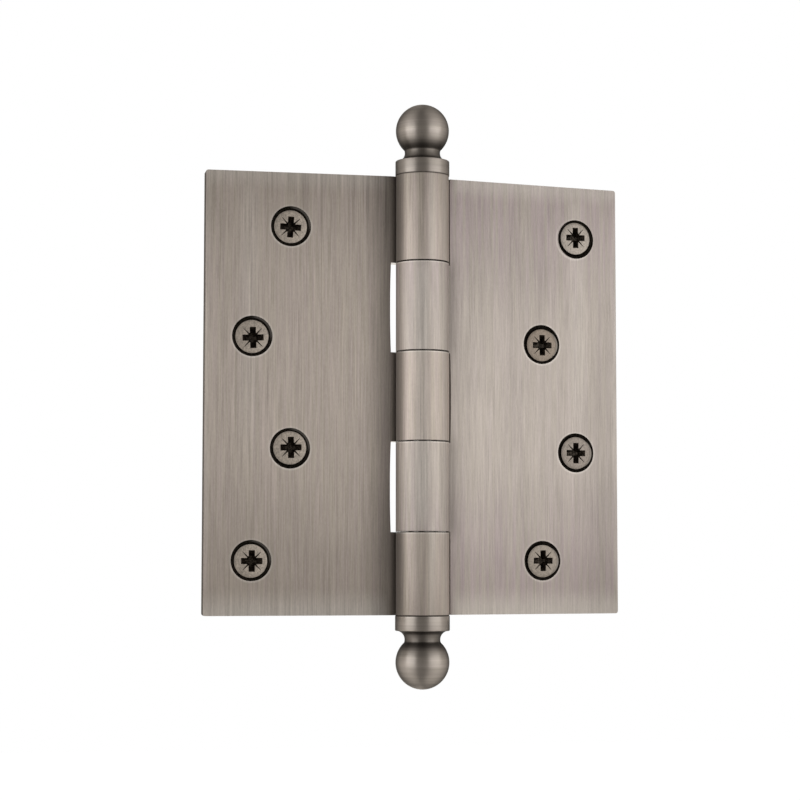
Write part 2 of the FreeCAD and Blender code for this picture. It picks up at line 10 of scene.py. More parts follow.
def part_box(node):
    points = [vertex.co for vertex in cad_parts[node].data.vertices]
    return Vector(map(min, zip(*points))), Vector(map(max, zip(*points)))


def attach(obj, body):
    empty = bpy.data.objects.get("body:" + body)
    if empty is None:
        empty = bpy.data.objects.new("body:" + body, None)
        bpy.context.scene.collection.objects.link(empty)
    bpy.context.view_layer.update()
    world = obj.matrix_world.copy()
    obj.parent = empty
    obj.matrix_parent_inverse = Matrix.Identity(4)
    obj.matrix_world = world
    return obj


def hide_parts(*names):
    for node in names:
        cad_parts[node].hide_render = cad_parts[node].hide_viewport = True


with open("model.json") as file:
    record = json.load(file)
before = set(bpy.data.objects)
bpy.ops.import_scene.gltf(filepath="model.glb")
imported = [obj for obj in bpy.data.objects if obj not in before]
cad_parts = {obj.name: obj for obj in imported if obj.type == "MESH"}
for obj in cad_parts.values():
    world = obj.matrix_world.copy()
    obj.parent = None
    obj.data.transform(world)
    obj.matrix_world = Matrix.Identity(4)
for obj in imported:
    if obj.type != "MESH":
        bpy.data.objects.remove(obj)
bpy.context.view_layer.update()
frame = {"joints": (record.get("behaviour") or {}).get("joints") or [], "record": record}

# The looks of a ball-tipped butt hinge. Lengths are in millimetres until a mesh or a material is made,
# where MM turns them into the frame's metres. +Z runs up along the pin and the countersunk faces look
# towards -Y.

MM = 0.001
joints = {joint["name"]: joint for joint in frame["joints"]}
mounts = {mount["name"]: mount for mount in frame["record"]["mounts"]}


def in_mm(values):
    """A place or a size of the frame in millimetres, to the nearest 0.001."""
    return Vector([round(value / MM, 3) for value in values])


# ------ sizes

# Leaves. The face and the back are depths from the pin's axis.
PIN_AXIS = in_mm(joints["leaf_swing"]["pos_m"])
HALF_HEIGHT = round(in_mm(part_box("frame_leaf")[1]).z, 3)
LEAF_WIDTH = round(PIN_AXIS.x - in_mm(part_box("frame_leaf")[0]).x, 3)
LEAF_BACK = round(-PIN_AXIS.y, 3)
DOOR_AXIS = mounts["door_leaf_back"]["axis"]
REST_ANGLE = math.atan2(-DOOR_AXIS[0], DOOR_AXIS[1])
LEAF_THICKNESS = 2.9
LEAF_FACE = LEAF_BACK - LEAF_THICKNESS
LEAF_CORNER = 0.6
EDGE_BREAK = 0.13
SWAGE_ANGLE = math.radians(22)
SWAGE_BEND = 1.0
SEAM_GAP = 0.35
FRAME_SIDE, DOOR_SIDE = -1, 1

# Knuckles and pin.
KNUCKLES = 5
NOTCH_CLEARANCE = 1.12
NOTCH_BOW = 0.2
TOP_KNUCKLE = 20.3
TOP_JOINT = HALF_HEIGHT - TOP_KNUCKLE
KNUCKLE_PITCH = 20.75
KNUCKLE_GAP = 0.1
PIN_FOOT, PIN_TOP = (in_mm(corner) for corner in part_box("hinge_pin"))
PIN_RADIUS = (PIN_TOP.x - PIN_FOOT.x) / 2
PIN_CLEARANCE = 0.075
PIN_CHAMFER = 0.8
BORE_RADIUS = PIN_RADIUS + PIN_CLEARANCE
BARREL_RADIUS = BORE_RADIUS + LEAF_THICKNESS

# Tips.
COLLAR_RADIUS = PIN_AXIS.y - in_mm(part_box("top_ball_tip")[0]).y
COLLAR_HEIGHT = 3.5
COLLAR_EDGE = 0.2
COLLAR_LAND = 0.18
COVE_RADIUS = 2.0
CREASE_RISE = 0.125
BALL_RADIUS = 6.18
TIP_GAP = 0.03
TAPPED_RADIUS = 2.5
TAPPED_DEPTH = 7.0
STEM_LENGTH = 8.0

# Screws and their holes.
HOLE_RADIUS = 2.4
SINK_RADIUS = 4.65
HEAD_RADIUS = 3.8
FRAME_HEAD_DEPTH = 0.6
DOOR_HEAD_DEPTH = 0.45
HEAD_LAND = 0.1
HEAD_ROUND = 0.45
ROUND_IN, ROUND_DOWN = 0.4 * HEAD_ROUND, 0.12 * HEAD_ROUND
SHANK_RADIUS = 2.05
THREAD_RADIUS = 2.0
THREAD_ROOT = 1.4
THREAD_PITCH = 1.8
THREAD_NECK = 0.4
THREAD_RUN_IN = 2 * THREAD_PITCH
CREST_SHARE = 0.28
SCREW_LENGTH = 25.0
POINT_LENGTH = 4.5
POINT_CURVE = 0.8
POINT_CREST = 1.6
POINT_RADIUS = 0.01
RECESS_REACH = 2.5
RECESS_WIDTH = 1.45
RECESS_CORE = 1.1
RECESS_DEPTH = 1.9
RECESS_TAPER = 0.5
TICK_START = 1.3
TICK_END = 2.95
TICK_WIDTH = 0.36
TICK_END_SHARE = 0.25
TICK_DEPTH = 0.25
CUTTER_RISE = 0.1

# Where the holes are, and what each screw did from the top row down: how far off its place its hole was
# drilled, how far round it was driven in degrees, how far it went in off the centre of its hole, and how
# far off the centre of its head the recess was punched. Distances are towards +X, before the door's leaf
# is turned, and up.
ROWS = 4
SCREW_PITCH = 25.55
NEAR_COLUMN = PIN_AXIS.x - in_mm(mounts["frame_near_screws"]["pos_m"]).x
FAR_COLUMN = PIN_AXIS.x - in_mm(mounts["frame_far_screws"]["pos_m"]).x
COLUMNS = (NEAR_COLUMN, FAR_COLUMN)
FRAME_DRILLED = ((0.0, 0.0),) * ROWS
DOOR_DRILLED = ((0.3, 0.06), (0.0, 0.0), (0.0, 0.0), (0.0, 0.0))
FRAME_DRIVEN = ((3, 0.0, -0.03), (-2, 0.0, -0.05), (-1, 0.04, 0.12), (0, 0.0, -0.1))
DOOR_DRIVEN = ((-1, 0.12, 0.26), (-1, 0.26, -0.12), (0, 0.28, -0.03), (0, 0.27, -0.1))
FRAME_PUNCHED = ((0.0, -0.08), (0.24, -0.25), (0.27, 0.1), (0.25, 0.0))
DOOR_PUNCHED = ((0.05, 0.2), (0.12, 0.0), (0.0, 0.0), (0.12, 0.1))

# How many straight parts stand for a curve.
OUTER_BEND_STEPS, INNER_BEND_STEPS = 12, 8
BORE_STEPS, ROLL_STEPS = 84, 144
NOTCH_STEPS = 10
LEAF_CORNER_STEPS = 6
EDGE_BREAK_STEPS = 2
HOLE_STEPS = HEAD_STEPS = 96
TURNED_STEPS = 192
COLLAR_EDGE_STEPS, COVE_STEPS, BALL_STEPS = 4, 20, 60
THREAD_STEPS, STEPS_PER_PITCH = 32, 10

# Edges sharper than the first angle are broken, and those sharper than the second are shaded sharp.
BROKEN_ANGLE = math.radians(30)
SHARP_ANGLE = math.radians(35)
FLATS_FIRST = 100
CLOSE = 0.01


# ------ mesh helpers


def arc(centre, radius, start, end, steps):
    """Points along an arc between two angles in radians, both ends included."""
    points = []
    for step in range(steps + 1):
        angle = start + (end - start) * step / steps
        points.append((centre[0] + radius * math.cos(angle), centre[1] + radius * math.sin(angle)))
    return points


def new_object(name, mesh_data, materials):
    """Turn a bmesh in millimetres into an object of the scene in metres."""
    bmesh.ops.recalc_face_normals(mesh_data, faces=mesh_data.faces)
    if mesh_data.calc_volume(signed=True) < 0:
        bmesh.ops.reverse_faces(mesh_data, faces=mesh_data.faces)
    bmesh.ops.scale(mesh_data, vec=(MM, MM, MM), verts=mesh_data.verts)
    mesh = bpy.data.meshes.new(name)
    mesh_data.to_mesh(mesh)
    mesh_data.free()
    piece = bpy.data.objects.new(name, mesh)
    bpy.context.scene.collection.objects.link(piece)
    for material in materials:
        mesh.materials.append(material)
    return piece


def keep_flats(piece, keep_sharp):
    """Shade the flats of a smooth piece flat."""
    flats = piece.modifiers.new("flat_faces", "WEIGHTED_NORMAL")
    flats.keep_sharp = keep_sharp
    flats.weight = FLATS_FIRST


def soften(piece, width, slot):
    """Break the sharp edges and keep the flats flat. The broken edges get the material of a slot."""
    piece.data.shade_smooth()
    bevel = piece.modifiers.new("edge_break", "BEVEL")
    bevel.width = width * MM
    bevel.segments = EDGE_BREAK_STEPS
    bevel.limit_method = "ANGLE"
    bevel.angle_limit = BROKEN_ANGLE
    bevel.use_clamp_overlap = True
    bevel.miter_outer = "MITER_ARC"
    bevel.material = slot
    keep_flats(piece, False)


def shade_round(piece):
    """Shade a piece smooth, except over its sharp edges."""
    piece.data.shade_smooth()
    piece.data.set_sharp_from_angle(angle=SHARP_ANGLE)


def bake_modifiers(piece):
    """Replace the mesh of a piece by what its modifiers make of it."""
    graph = bpy.context.evaluated_depsgraph_get()
    graph.update()
    seen = piece.evaluated_get(graph)
    made = bpy.data.meshes.new_from_object(seen, preserve_all_data_layers=True, depsgraph=graph)
    piece.modifiers.clear()
    piece.data = made


def cut(piece, cutter):
    """Take the cutter's volume out of a piece and throw the cutter away."""
    difference = piece.modifiers.new("cut", "BOOLEAN")
    difference.operation = "DIFFERENCE"
    difference.solver = "EXACT"
    difference.object = cutter
    difference.material_mode = "TRANSFER"
    bake_modifiers(piece)
    bpy.data.objects.remove(cutter)


def lathe(mesh_data, profile, segments, direction, origin=Vector((0, 0, 0))):
    """Turn a profile of (radius, height) points about an axis. A radius of 0 closes the form."""
    turn = direction.to_track_quat("Z", "Y").to_matrix()
    rings = []
    for radius, height in profile:
        if radius == 0:
            rings.append([mesh_data.verts.new(origin + turn @ Vector((0, 0, height)))])
            continue
        ring = []
        for step in range(segments):
            angle = 2 * math.pi * step / segments
            point = Vector((radius * math.cos(angle), radius * math.sin(angle), height))
            ring.append(mesh_data.verts.new(origin + turn @ point))
        rings.append(ring)
    for lower, upper in zip(rings, rings[1:]):
        for step in range(segments):
            following = (step + 1) % segments
            corners = [lower[step % len(lower)], lower[following % len(lower)]]
            corners += [upper[following % len(upper)], upper[step % len(upper)]]
            unique = list(dict.fromkeys(corners))
            if len(unique) > 2:
                mesh_data.faces.new(unique)


# ------ node trees


class Nodes:
    """A short way to build a node tree."""

    def __init__(self, tree):
        self.tree = tree
        tree.nodes.clear()

    def add(self, kind, inputs=None, **settings):
        """A node with its settings and inputs, which are values or sockets of other nodes."""
        node = self.tree.nodes.new("ShaderNode" + kind)
        for name, value in settings.items():
            setattr(node, name, value)
        for name, value in (inputs or {}).items():
            if isinstance(value, bpy.types.NodeSocket):
                self.tree.links.new(value, node.inputs[name])
            else:
                node.inputs[name].default_value = value
        return node

    def maths(self, operation, first, second=0.0, third=0.0, clamp=False):
        inputs = {0: first, 1: second, 2: third}
        return self.add("Math", inputs, operation=operation, use_clamp=clamp).outputs[0]

    def times(self, *values):
        return reduce(partial(self.maths, "MULTIPLY"), values)

    def plus(self, *values):
        return reduce(partial(self.maths, "ADD"), values)

    def most(self, *values):
        return reduce(partial(self.maths, "MAXIMUM"), values)

    def vector(self, operation, first, second=(0, 0, 0)):
        return self.add("VectorMath", {0: first, 1: second}, operation=operation).outputs[0]

    def dot(self, first, second):
        product = self.add("VectorMath", {0: first, 1: second}, operation="DOT_PRODUCT")
        return product.outputs["Value"]

    def parts(self, vector):
        """The three coordinates of a vector."""
        return self.add("SeparateXYZ", {0: vector}).outputs

    def ramp(self, value, low, high, start=0.0, end=1.0):
        """Smooth change from start to end as value goes from low to high."""
        inputs = {"Value": value, "From Min": low, "From Max": high, "To Min": start, "To Max": end}
        return self.add("MapRange", inputs, interpolation_type="SMOOTHSTEP").outputs["Result"]

    def fade(self, value, low, high, start=0.0, end=1.0):
        """The same for a value in metres, between two places in millimetres."""
        return self.ramp(value, low * MM, high * MM, start, end)

    def band(self, value, rise_low, rise_high, fall_low, fall_high, height=1.0):
        """A smooth bump of a given height along a value in metres, between places in millimetres."""
        rising = self.fade(value, rise_low, rise_high, 0.0, height)
        falling = self.fade(value, fall_low, fall_high, 1.0, 0.0)
        return self.times(rising, falling)

    def noise(self, vector):
        inputs = {"Vector": vector, "Scale": 1.0, "Detail": 2.0}
        return self.add("TexNoise", inputs).outputs["Fac"]

    def mix(self, share, first, second, blend="MIX"):
        """Mix two colours, which are the inputs 6 and 7 of the node."""
        inputs = {0: share, 6: first, 7: second}
        return self.add("Mix", inputs, data_type="RGBA", blend_type=blend).outputs[2]


def new_material(name):
    """A material and its empty node tree."""
    material = bpy.data.materials.new(name)
    material.use_nodes = True
    return material, Nodes(material.node_tree)


# ------ plated steel

FRAME_COLOUR, FRAME_TINT = (0.425, 0.378, 0.332), (0.425, 0.37, 0.340)
DOOR_COLOUR, DOOR_TINT = (0.412, 0.372, 0.336), (0.412, 0.368, 0.343)
TIP_COLOUR, TIP_TINT = (0.49, 0.447, 0.415), (0.49, 0.45, 0.41)
PIN_COLOUR, PIN_TINT = (0.45, 0.43, 0.41), (0.44, 0.42, 0.40)
# The broken edges are lighter than the plates, a painted highlight on them; the leaves' painted
# highlights mix towards this colour too.
EDGE_COLOUR, EDGE_TINT = (0.60, 0.56, 0.52), (0.58, 0.54, 0.50)
END_COLOUR = (0.9, 0.88, 0.86)
THREAD_COLOUR = (0.46, 0.42, 0.37)
# Screw heads: lighter and darker copies of one head metal, as painted light for how each head catches the
# light; one for the frame's heads and one for each door head from the top row down.
FRAME_HEAD = (0.59, 0.53, 0.47)
UPPER_HEADS = ((0.504, 0.458, 0.414), (0.366, 0.313, 0.266))
LOWER_HEADS = ((0.384, 0.342, 0.308), (0.407, 0.364, 0.319))
# The dark that the darkening masks mix in: patina, and painted shade in the leaves' corners and towards
# their ends.
PATINA_AND_SHADE_COLOUR = (0.035, 0.030, 0.026)
FLUSH = (1.0, 0.955, 1.025)

# Streaks of the brushed grain: how many to a metre across and along the grain, and how strong.
FRAME_FINE = ((4000, 120, 0.26), (2900, 45, 0.20), (5000, 1500, 0.12))
FRAME_STREAKS = (*FRAME_FINE, (1400, 28, 0.06), (420, 18, 0.05), (95, 12, 0.05))
DOOR_FINE = ((4000, 120, 0.28), (2700, 42, 0.20), (5000, 1500, 0.12))
DOOR_STREAKS = (*DOOR_FINE, (1300, 28, 0.10), (420, 16, 0.10), (110, 12, 0.14))
TIP_STREAKS = ((3200, 60, 0.20), (1000, 45, 0.10), (300, 30, 0.06))
FAINT_STREAKS = ((4200, 3000, 0.55), (1500, 900, 0.30))
ALONG_PIN = "along the pin"
ROUND_AXIS = "round the axis"

# Roughness, anisotropy and grain.
LEAF_FINISH = (0.37, 0.93, ALONG_PIN)
TIP_FINISH = (0.40, 0.75, ROUND_AXIS)
PIN_FINISH = (0.3, 0.4, ROUND_AXIS)
HEAD_FINISH = (0.56, 0.0, ALONG_PIN)
THREAD_FINISH = (0.36, 0.0, ROUND_AXIS)
EDGE_FINISH = (0.45, 0.0, ALONG_PIN)
END_FINISH = (0.12, 0.0, ROUND_AXIS)

HUE_OFFSET = (31.0, 17.0, 5.0)
HUE_SPREAD = (0.35, 0.65)
FLUSH_SPREAD = (16, 42)
ROUGH_SPREAD = (0.3, 0.7)
ROUGH_SWING = 0.03
DARKENED_ROUGHNESS = 0.1
ALMOST_UP = (0.01, 0.02, 1.0)
BRUSH_STRENGTH = 0.35
BRUSH_DEPTH = 0.004


def along_grain(tree, place, grain, across, along):
    """A place stretched so that a noise there makes streaks, so many to a metre across and along them."""
    scale = (across, across, along) if grain == ALONG_PIN else (along, along, across)
    return tree.vector("MULTIPLY", place, scale)


def brushed_metal(name, colour, tint, finish, streaks, patina_and_shade=None, highlights=None, flush=None):
    """Plated steel with a brushed grain. The two mask makers take the tree and the place in space: the
    first says where the metal is darkened, by patina and by painted shade, and the second where painted
    highlights lighten it. flush is the colour that some streaks take on towards both ends."""
    roughness, anisotropy, grain = finish
    material, tree = new_material(name)
    place = tree.add("TexCoord").outputs["Object"]
    tone = 1.0
    noises = []
    for across, along, strength in streaks:
        noises.append(tree.noise(along_grain(tree, place, grain, across, along)))
        inputs = {"Value": noises[-1], "To Min": -strength, "To Max": strength}
        swing = tree.add("MapRange", inputs)
        tone = tree.plus(tone, swing.outputs["Result"])
    across, along, _ = streaks[len(streaks) // 2]
    hue_place = tree.vector("ADD", along_grain(tree, place, grain, across, along), HUE_OFFSET)
    hue = tree.ramp(tree.noise(hue_place), *HUE_SPREAD)
    shade = tree.mix(hue, (*colour, 1), (*tint, 1))
    if flush is not None:
        from_middle = tree.maths("ABSOLUTE", tree.parts(place)[2])
        share = tree.times(hue, tree.fade(from_middle, *FLUSH_SPREAD))
        shade = tree.mix(share, shade, (*flush, 1), "MULTIPLY")
    # Painted highlights: lighter towards the edges' colour where the highlight mask says.
    if highlights is not None:
        shade = tree.mix(highlights(tree, place), shade, (*EDGE_COLOUR, 1))
    grey = tree.add("CombineColor", {0: tone, 1: tone, 2: tone}).outputs[0]
    shade = tree.mix(1.0, shade, grey, "MULTIPLY")
    rough = tree.ramp(noises[1], *ROUGH_SPREAD, roughness - ROUGH_SWING, roughness + ROUGH_SWING)
    # Darker where the mask says: patina, and painted shade in corners and towards the ends.
    if patina_and_shade is not None:
        mask = patina_and_shade(tree, place)
        shade = tree.mix(mask, shade, (*PATINA_AND_SHADE_COLOUR, 1))
        rough = tree.plus(rough, tree.times(mask, DARKENED_ROUGHNESS))
    normal = tree.add("NewGeometry").outputs["Normal"]
    level = tree.vector("CROSS_PRODUCT", ALMOST_UP, normal)
    tangent = level if grain == ALONG_PIN else tree.vector("CROSS_PRODUCT", normal, level)
    inputs = {"Strength": BRUSH_STRENGTH, "Distance": BRUSH_DEPTH * MM, "Height": noises[0]}
    bump = tree.add("Bump", inputs)
    surface = tree.add(
        "BsdfPrincipled",
        {
            "Base Color": shade,
            "Metallic": 1.0,
            "Roughness": rough,
            "Anisotropic": anisotropy,
            "Tangent": tree.vector("NORMALIZE", tangent),
            "Normal": bump.outputs["Normal"],
        },
    )
    tree.add("OutputMaterial", {"Surface": surface.outputs[0]})
    return material


# ------ marks on the steel

# A band rises between its first two places and falls between the next two, and its last value is its
# strength. A fade changes between its two places, from its third value to its fourth or from 0 to 1.
# Places are in millimetres, most of them across from the pin's axis or up from the hinge's middle.

COVE_FOOT = HALF_HEIGHT + COLLAR_HEIGHT
CREASE = COVE_FOOT + COVE_RADIUS + 0.7
# Darker bands on the tips: at the foot of the cove, over the cove and past the crease under the ball.
COVE_FOOT_DARK = (COVE_FOOT - 0.05, COVE_FOOT + 0.1, COVE_FOOT + 0.3, COVE_FOOT + 2.0, 0.85)
COVE_DARK = (COVE_FOOT - 0.1, COVE_FOOT + 0.1, CREASE + 0.3, CREASE + 4.3, 0.56)
CREASE_DARK = (CREASE - 0.8, CREASE, CREASE + 0.2, CREASE + 3.2, 0.9)
SEAT_GRIME = (HALF_HEIGHT + 0.1, HALF_HEIGHT + 0.3, 0.75, 0.11)
COLLAR_ONLY = (COVE_FOOT + 0.2, COVE_FOOT + 1, 1.0, 0.0)

JOINT_GRIME = (0.18 * 0.8, 0.18 * 1.2, 1.0, 0.0)
BARREL_TOP_GRIME = (HALF_HEIGHT - 0.2, HALF_HEIGHT - 0.1, 0.0, 0.45)
BARREL_FOOT_GRIME = (-(HALF_HEIGHT - 0.1), -(HALF_HEIGHT - 0.2), 0.8, 0.0)
ON_BARREL = (BARREL_RADIUS + 0.1, BARREL_RADIUS + 0.3, 1.0, 0.0)

# The frame's leaf: painted shade in the corner by its knuckles, partly patina there too; brown streaks at
# the top and by the barrel; faint painted shade towards the foot and over the lower screws; darker along
# the outer edge.
FRAME_CORNER = (-15.3, -6.0, -6.0, -4.3, 0.58)
FRAME_TOP, FRAME_TOP_UP = (-38.0, -26.0, -9.0, -6.5, 0.17), (27, 42)
BROWN_BARREL, BROWN_BARREL_UP = (-5.5, -2.5, -1.0, 0.8, 0.34), (36, 50)
BROWN_STREAKS, BROWN_SPREAD = (1300, 1300, 35), (0.42, 0.68)
FRAME_FOOT, FRAME_FOOT_UP = (-34.0, -26.0, -12.0, -7.0, 0.05), (-42, -28, 1.0, 0.0)
FRAME_LOW_ROW = (-44.0, -36.0, -28.0, -16.0, 0.065)
FRAME_OUTER = (-(LEAF_WIDTH - 0.04), -(LEAF_WIDTH - 0.12), 0.75, 0.0)
BROKEN_OUTER = (-(LEAF_WIDTH - 0.1), -(LEAF_WIDTH - 0.2), 0.5, 0.0)

# The door's leaf: painted shade in the corner by its knuckles, partly patina there too, and faint painted
# shade towards its outer edge, at its top and at its foot.
DOOR_CORNER, DOOR_CORNER_UP = (5.6, 6.4, 6.8, 10.5, 0.34), (8, 14, 1.0, 0.5)
DOOR_OUTER = (22, 52, 0.0, 0.13)
DOOR_TOP, DOOR_TOP_UP = (8.0, 14.0, 28.0, 42.0, 0.08), (14.0, 30.0, 41.0, 50.0)
DOOR_FOOT = (-46.0, -38.0, -28.0, -14.0, 0.06)

# Painted highlights on the leaves: rings round the countersinks, stronger on their lower side, the
# borders, ends and back, and the fronts, flanks and lips under the joints of the knuckles. BRIGHT_STRIPE
# is a lighter stripe in the grain.
FRONT_ONLY = (LEAF_FACE + 0.5, LEAF_FACE + 1, 1.0, 0.0)
BRIGHT_BACK = (LEAF_BACK - 0.3, LEAF_BACK - 0.1, 0.0, 0.8)
BRIGHT_RING = (SINK_RADIUS - 0.1, SINK_RADIUS, SINK_RADIUS + 0.2, SINK_RADIUS + 0.55, 0.6)
BRIGHT_RING_UP = (-SINK_RADIUS, SINK_RADIUS, 1.0, 0.45)
BRIGHT_TOP = (HALF_HEIGHT - 5, HALF_HEIGHT, 0.0, 0.55)
BRIGHT_FOOT = (-HALF_HEIGHT, -(HALF_HEIGHT - 7), 0.85, 0.0)
PLATE_ONLY = (7.0, 9.0)
BRIGHT_SIDE = (LEAF_WIDTH - 1.6, LEAF_WIDTH - 0.2, 0.0, 0.25)
BRIGHT_STRIPE, BRIGHT_STRIPE_UP = (37.0, 39.5, 41.0, 43.5, 0.2), (-25, 10)
BARREL_MIDDLE = (-3.2, -1.7, -0.9, 0.8)
FRAME_BARREL_SHARE, DOOR_BARREL_SHARE = 0.3, 0.55
OUTER_KNUCKLES = (26, 34)
BRIGHT_BESIDE = (-0.3, 0.6, 0.9, 2.4, 0.3)
BRIGHT_FLANK = (3.4, 4.0, 4.8, 5.4, 0.25)
BRIGHT_LIP = (-0.5, -0.4, -0.24, -0.18, 0.6)


def from_axis(tree, place):
    """How far a place is from the pin's axis towards +X, and how high it is, in metres."""
    across, _, height = tree.parts(place)
    return tree.maths("SUBTRACT", across, PIN_AXIS.x * MM), height


def tip_darkening(tree, place):
    """Dark at both ends of a tip's cove and at the seat of its collar, and less so in the cove."""
    height = tree.maths("ABSOLUTE", tree.parts(place)[2])
    low = tree.band(height, *COVE_FOOT_DARK)
    middle = tree.band(height, *COVE_DARK)
    high = tree.band(height, *CREASE_DARK)
    seat = tree.times(tree.fade(height, *SEAT_GRIME), tree.fade(height, *COLLAR_ONLY))
    return tree.most(low, middle, high, seat)


def above_joint(tree, height):
    """Signed distance from the nearest joint between two knuckles, in metres."""
    from_top_joint = tree.maths("SUBTRACT", height, TOP_JOINT * MM)
    return tree.maths("WRAP", from_top_joint, KNUCKLE_PITCH / 2 * MM, -KNUCKLE_PITCH / 2 * MM)


def on_barrel(tree, across):
    """1 on the knuckles and 0 on the plates."""
    return tree.fade(tree.maths("ABSOLUTE", across), *ON_BARREL)


def barrel_grime(tree, across, height):
    """Dark in the joints between the knuckles and at both ends of the barrel."""
    joint = tree.fade(tree.maths("ABSOLUTE", above_joint(tree, height)), *JOINT_GRIME)
    ends = tree.plus(tree.fade(height, *BARREL_TOP_GRIME), tree.fade(height, *BARREL_FOOT_GRIME))
    return tree.times(tree.most(joint, ends), on_barrel(tree, across))


def frame_patina_and_shade(tree, place):
    """Painted shade in the corner between the leaf and its knuckles, partly patina there too, and dark at
    its outer edge; faint painted shade over the lower screws; and brown streaks at the top."""
    across, height = from_axis(tree, place)
    corner = tree.band(across, *FRAME_CORNER)
    streaks = tree.ramp(tree.noise(tree.vector("MULTIPLY", place, BROWN_STREAKS)), *BROWN_SPREAD)
    top = tree.times(tree.band(across, *FRAME_TOP), tree.fade(height, *FRAME_TOP_UP))
    barrel = tree.times(tree.band(across, *BROWN_BARREL), tree.fade(height, *BROWN_BARREL_UP))
    brown = tree.times(tree.plus(top, barrel), streaks)
    foot = tree.times(tree.band(across, *FRAME_FOOT), tree.fade(height, *FRAME_FOOT_UP))
    foot = tree.plus(foot, tree.band(height, *FRAME_LOW_ROW))
    outer = tree.fade(across, *FRAME_OUTER)
    return tree.most(tree.plus(corner, brown, foot), outer, barrel_grime(tree, across, height))


def door_patina_and_shade(tree, place):
    """Painted shade in the corner between the leaf and its own knuckles, partly patina there too, and
    faint painted shade towards its outer edge and at its top and foot."""
    across, height = from_axis(tree, place)
    second = (TOP_JOINT - KNUCKLE_PITCH / 2) * MM
    row = tree.maths("PINGPONG", tree.maths("SUBTRACT", height, second), KNUCKLE_PITCH * MM)
    corner = tree.times(tree.band(across, *DOOR_CORNER), tree.fade(row, *DOOR_CORNER_UP))
    corner = tree.plus(corner, tree.fade(across, *DOOR_OUTER))
    top = tree.times(tree.band(across, *DOOR_TOP), tree.band(height, *DOOR_TOP_UP))
    patina_and_shade = tree.plus(corner, top, tree.band(height, *DOOR_FOOT))
    return tree.most(patina_and_shade, barrel_grime(tree, across, height))


def edge_patina(tree, place):
    """Dark on the broken edges at the joints and along the outer edge of the frame's leaf."""
    across, height = from_axis(tree, place)
    return tree.most(tree.fade(across, *BROKEN_OUTER), barrel_grime(tree, across, height))


def painted_highlights(side, first_column, turn, barrel_share):
    """Painted highlights on one leaf: bright rings round its countersinks, bright borders and ends, a
    bright front and flanks of its knuckles with bright lips under their joints, and a bright back. One
    bright stripe is a lighter streak in the grain."""

    def bright_rings(tree, along, height, front):
        rings = 0.0
        for row in (0, 1):
            column = COLUMNS[(first_column + row) % 2]
            level = ((ROWS - 1) / 2 - row) * SCREW_PITCH
            from_row = tree.maths("SUBTRACT", height, level * MM)
            up = tree.maths("WRAP", from_row, SCREW_PITCH * MM, -SCREW_PITCH * MM)
            aside = tree.maths("SUBTRACT", along, column * MM)
            from_screw = tree.add("CombineXYZ", {0: aside, 1: up, 2: 0.0}).outputs[0]
            length = tree.add("VectorMath", {0: from_screw}, operation="LENGTH")
            ring = tree.band(length.outputs["Value"], *BRIGHT_RING)
            lower = tree.times(tree.fade(up, *BRIGHT_RING_UP), front)
            rings = tree.plus(rings, tree.times(ring, lower))
        return rings

    def bright_barrel(tree, across, height):
        outer = tree.fade(tree.maths("ABSOLUTE", height), *OUTER_KNUCKLES)
        inner = tree.maths("SUBTRACT", 1.0, outer)
        middle = tree.times(tree.band(across, *BARREL_MIDDLE, barrel_share), inner)
        beside = tree.times(tree.band(across, *BRIGHT_BESIDE), outer)
        flank = tree.band(across, *BRIGHT_FLANK)
        lip = tree.times(tree.band(above_joint(tree, height), *BRIGHT_LIP), on_barrel(tree, across))
        return tree.plus(middle, beside, flank, lip)

    def highlights(tree, place):
        across, height = from_axis(tree, place)
        from_pin = tree.vector("SUBTRACT", place, (PIN_AXIS.x * MM, PIN_AXIS.y * MM, 0))
        along = tree.dot(from_pin, (side * math.cos(turn), side * math.sin(turn), 0))
        depth = tree.dot(from_pin, (-math.sin(turn), math.cos(turn), 0))
        rings = bright_rings(tree, along, height, tree.fade(depth, *FRONT_ONLY))
        ends = tree.plus(tree.fade(height, *BRIGHT_TOP), tree.fade(height, *BRIGHT_FOOT))
        ends = tree.times(ends, tree.fade(along, *PLATE_ONLY))
        stripe = tree.times(tree.band(along, *BRIGHT_STRIPE), tree.fade(height, *BRIGHT_STRIPE_UP))
        border = tree.plus(tree.fade(along, *BRIGHT_SIDE), stripe)
        bright = tree.plus(rings, border, bright_barrel(tree, across, height))
        return tree.most(bright, ends, tree.fade(depth, *BRIGHT_BACK))

    return highlights


frame_highlights = painted_highlights(FRAME_SIDE, 0, 0.0, FRAME_BARREL_SHARE)
door_highlights = painted_highlights(DOOR_SIDE, 1, REST_ANGLE, DOOR_BARREL_SHARE)
frame_look = (FRAME_COLOUR, FRAME_TINT, LEAF_FINISH, FRAME_STREAKS, frame_patina_and_shade, frame_highlights)
door_look = (DOOR_COLOUR, DOOR_TINT, LEAF_FINISH, DOOR_STREAKS, door_patina_and_shade, door_highlights, FLUSH)
edge_look = (EDGE_COLOUR, EDGE_TINT, EDGE_FINISH, FAINT_STREAKS, edge_patina)
frame_metal = brushed_metal("brushed_frame_leaf", *frame_look)
door_metal = brushed_metal("brushed_door_leaf", *door_look)
tip_metal = brushed_metal("turned_tip", TIP_COLOUR, TIP_TINT, TIP_FINISH, TIP_STREAKS, tip_darkening)
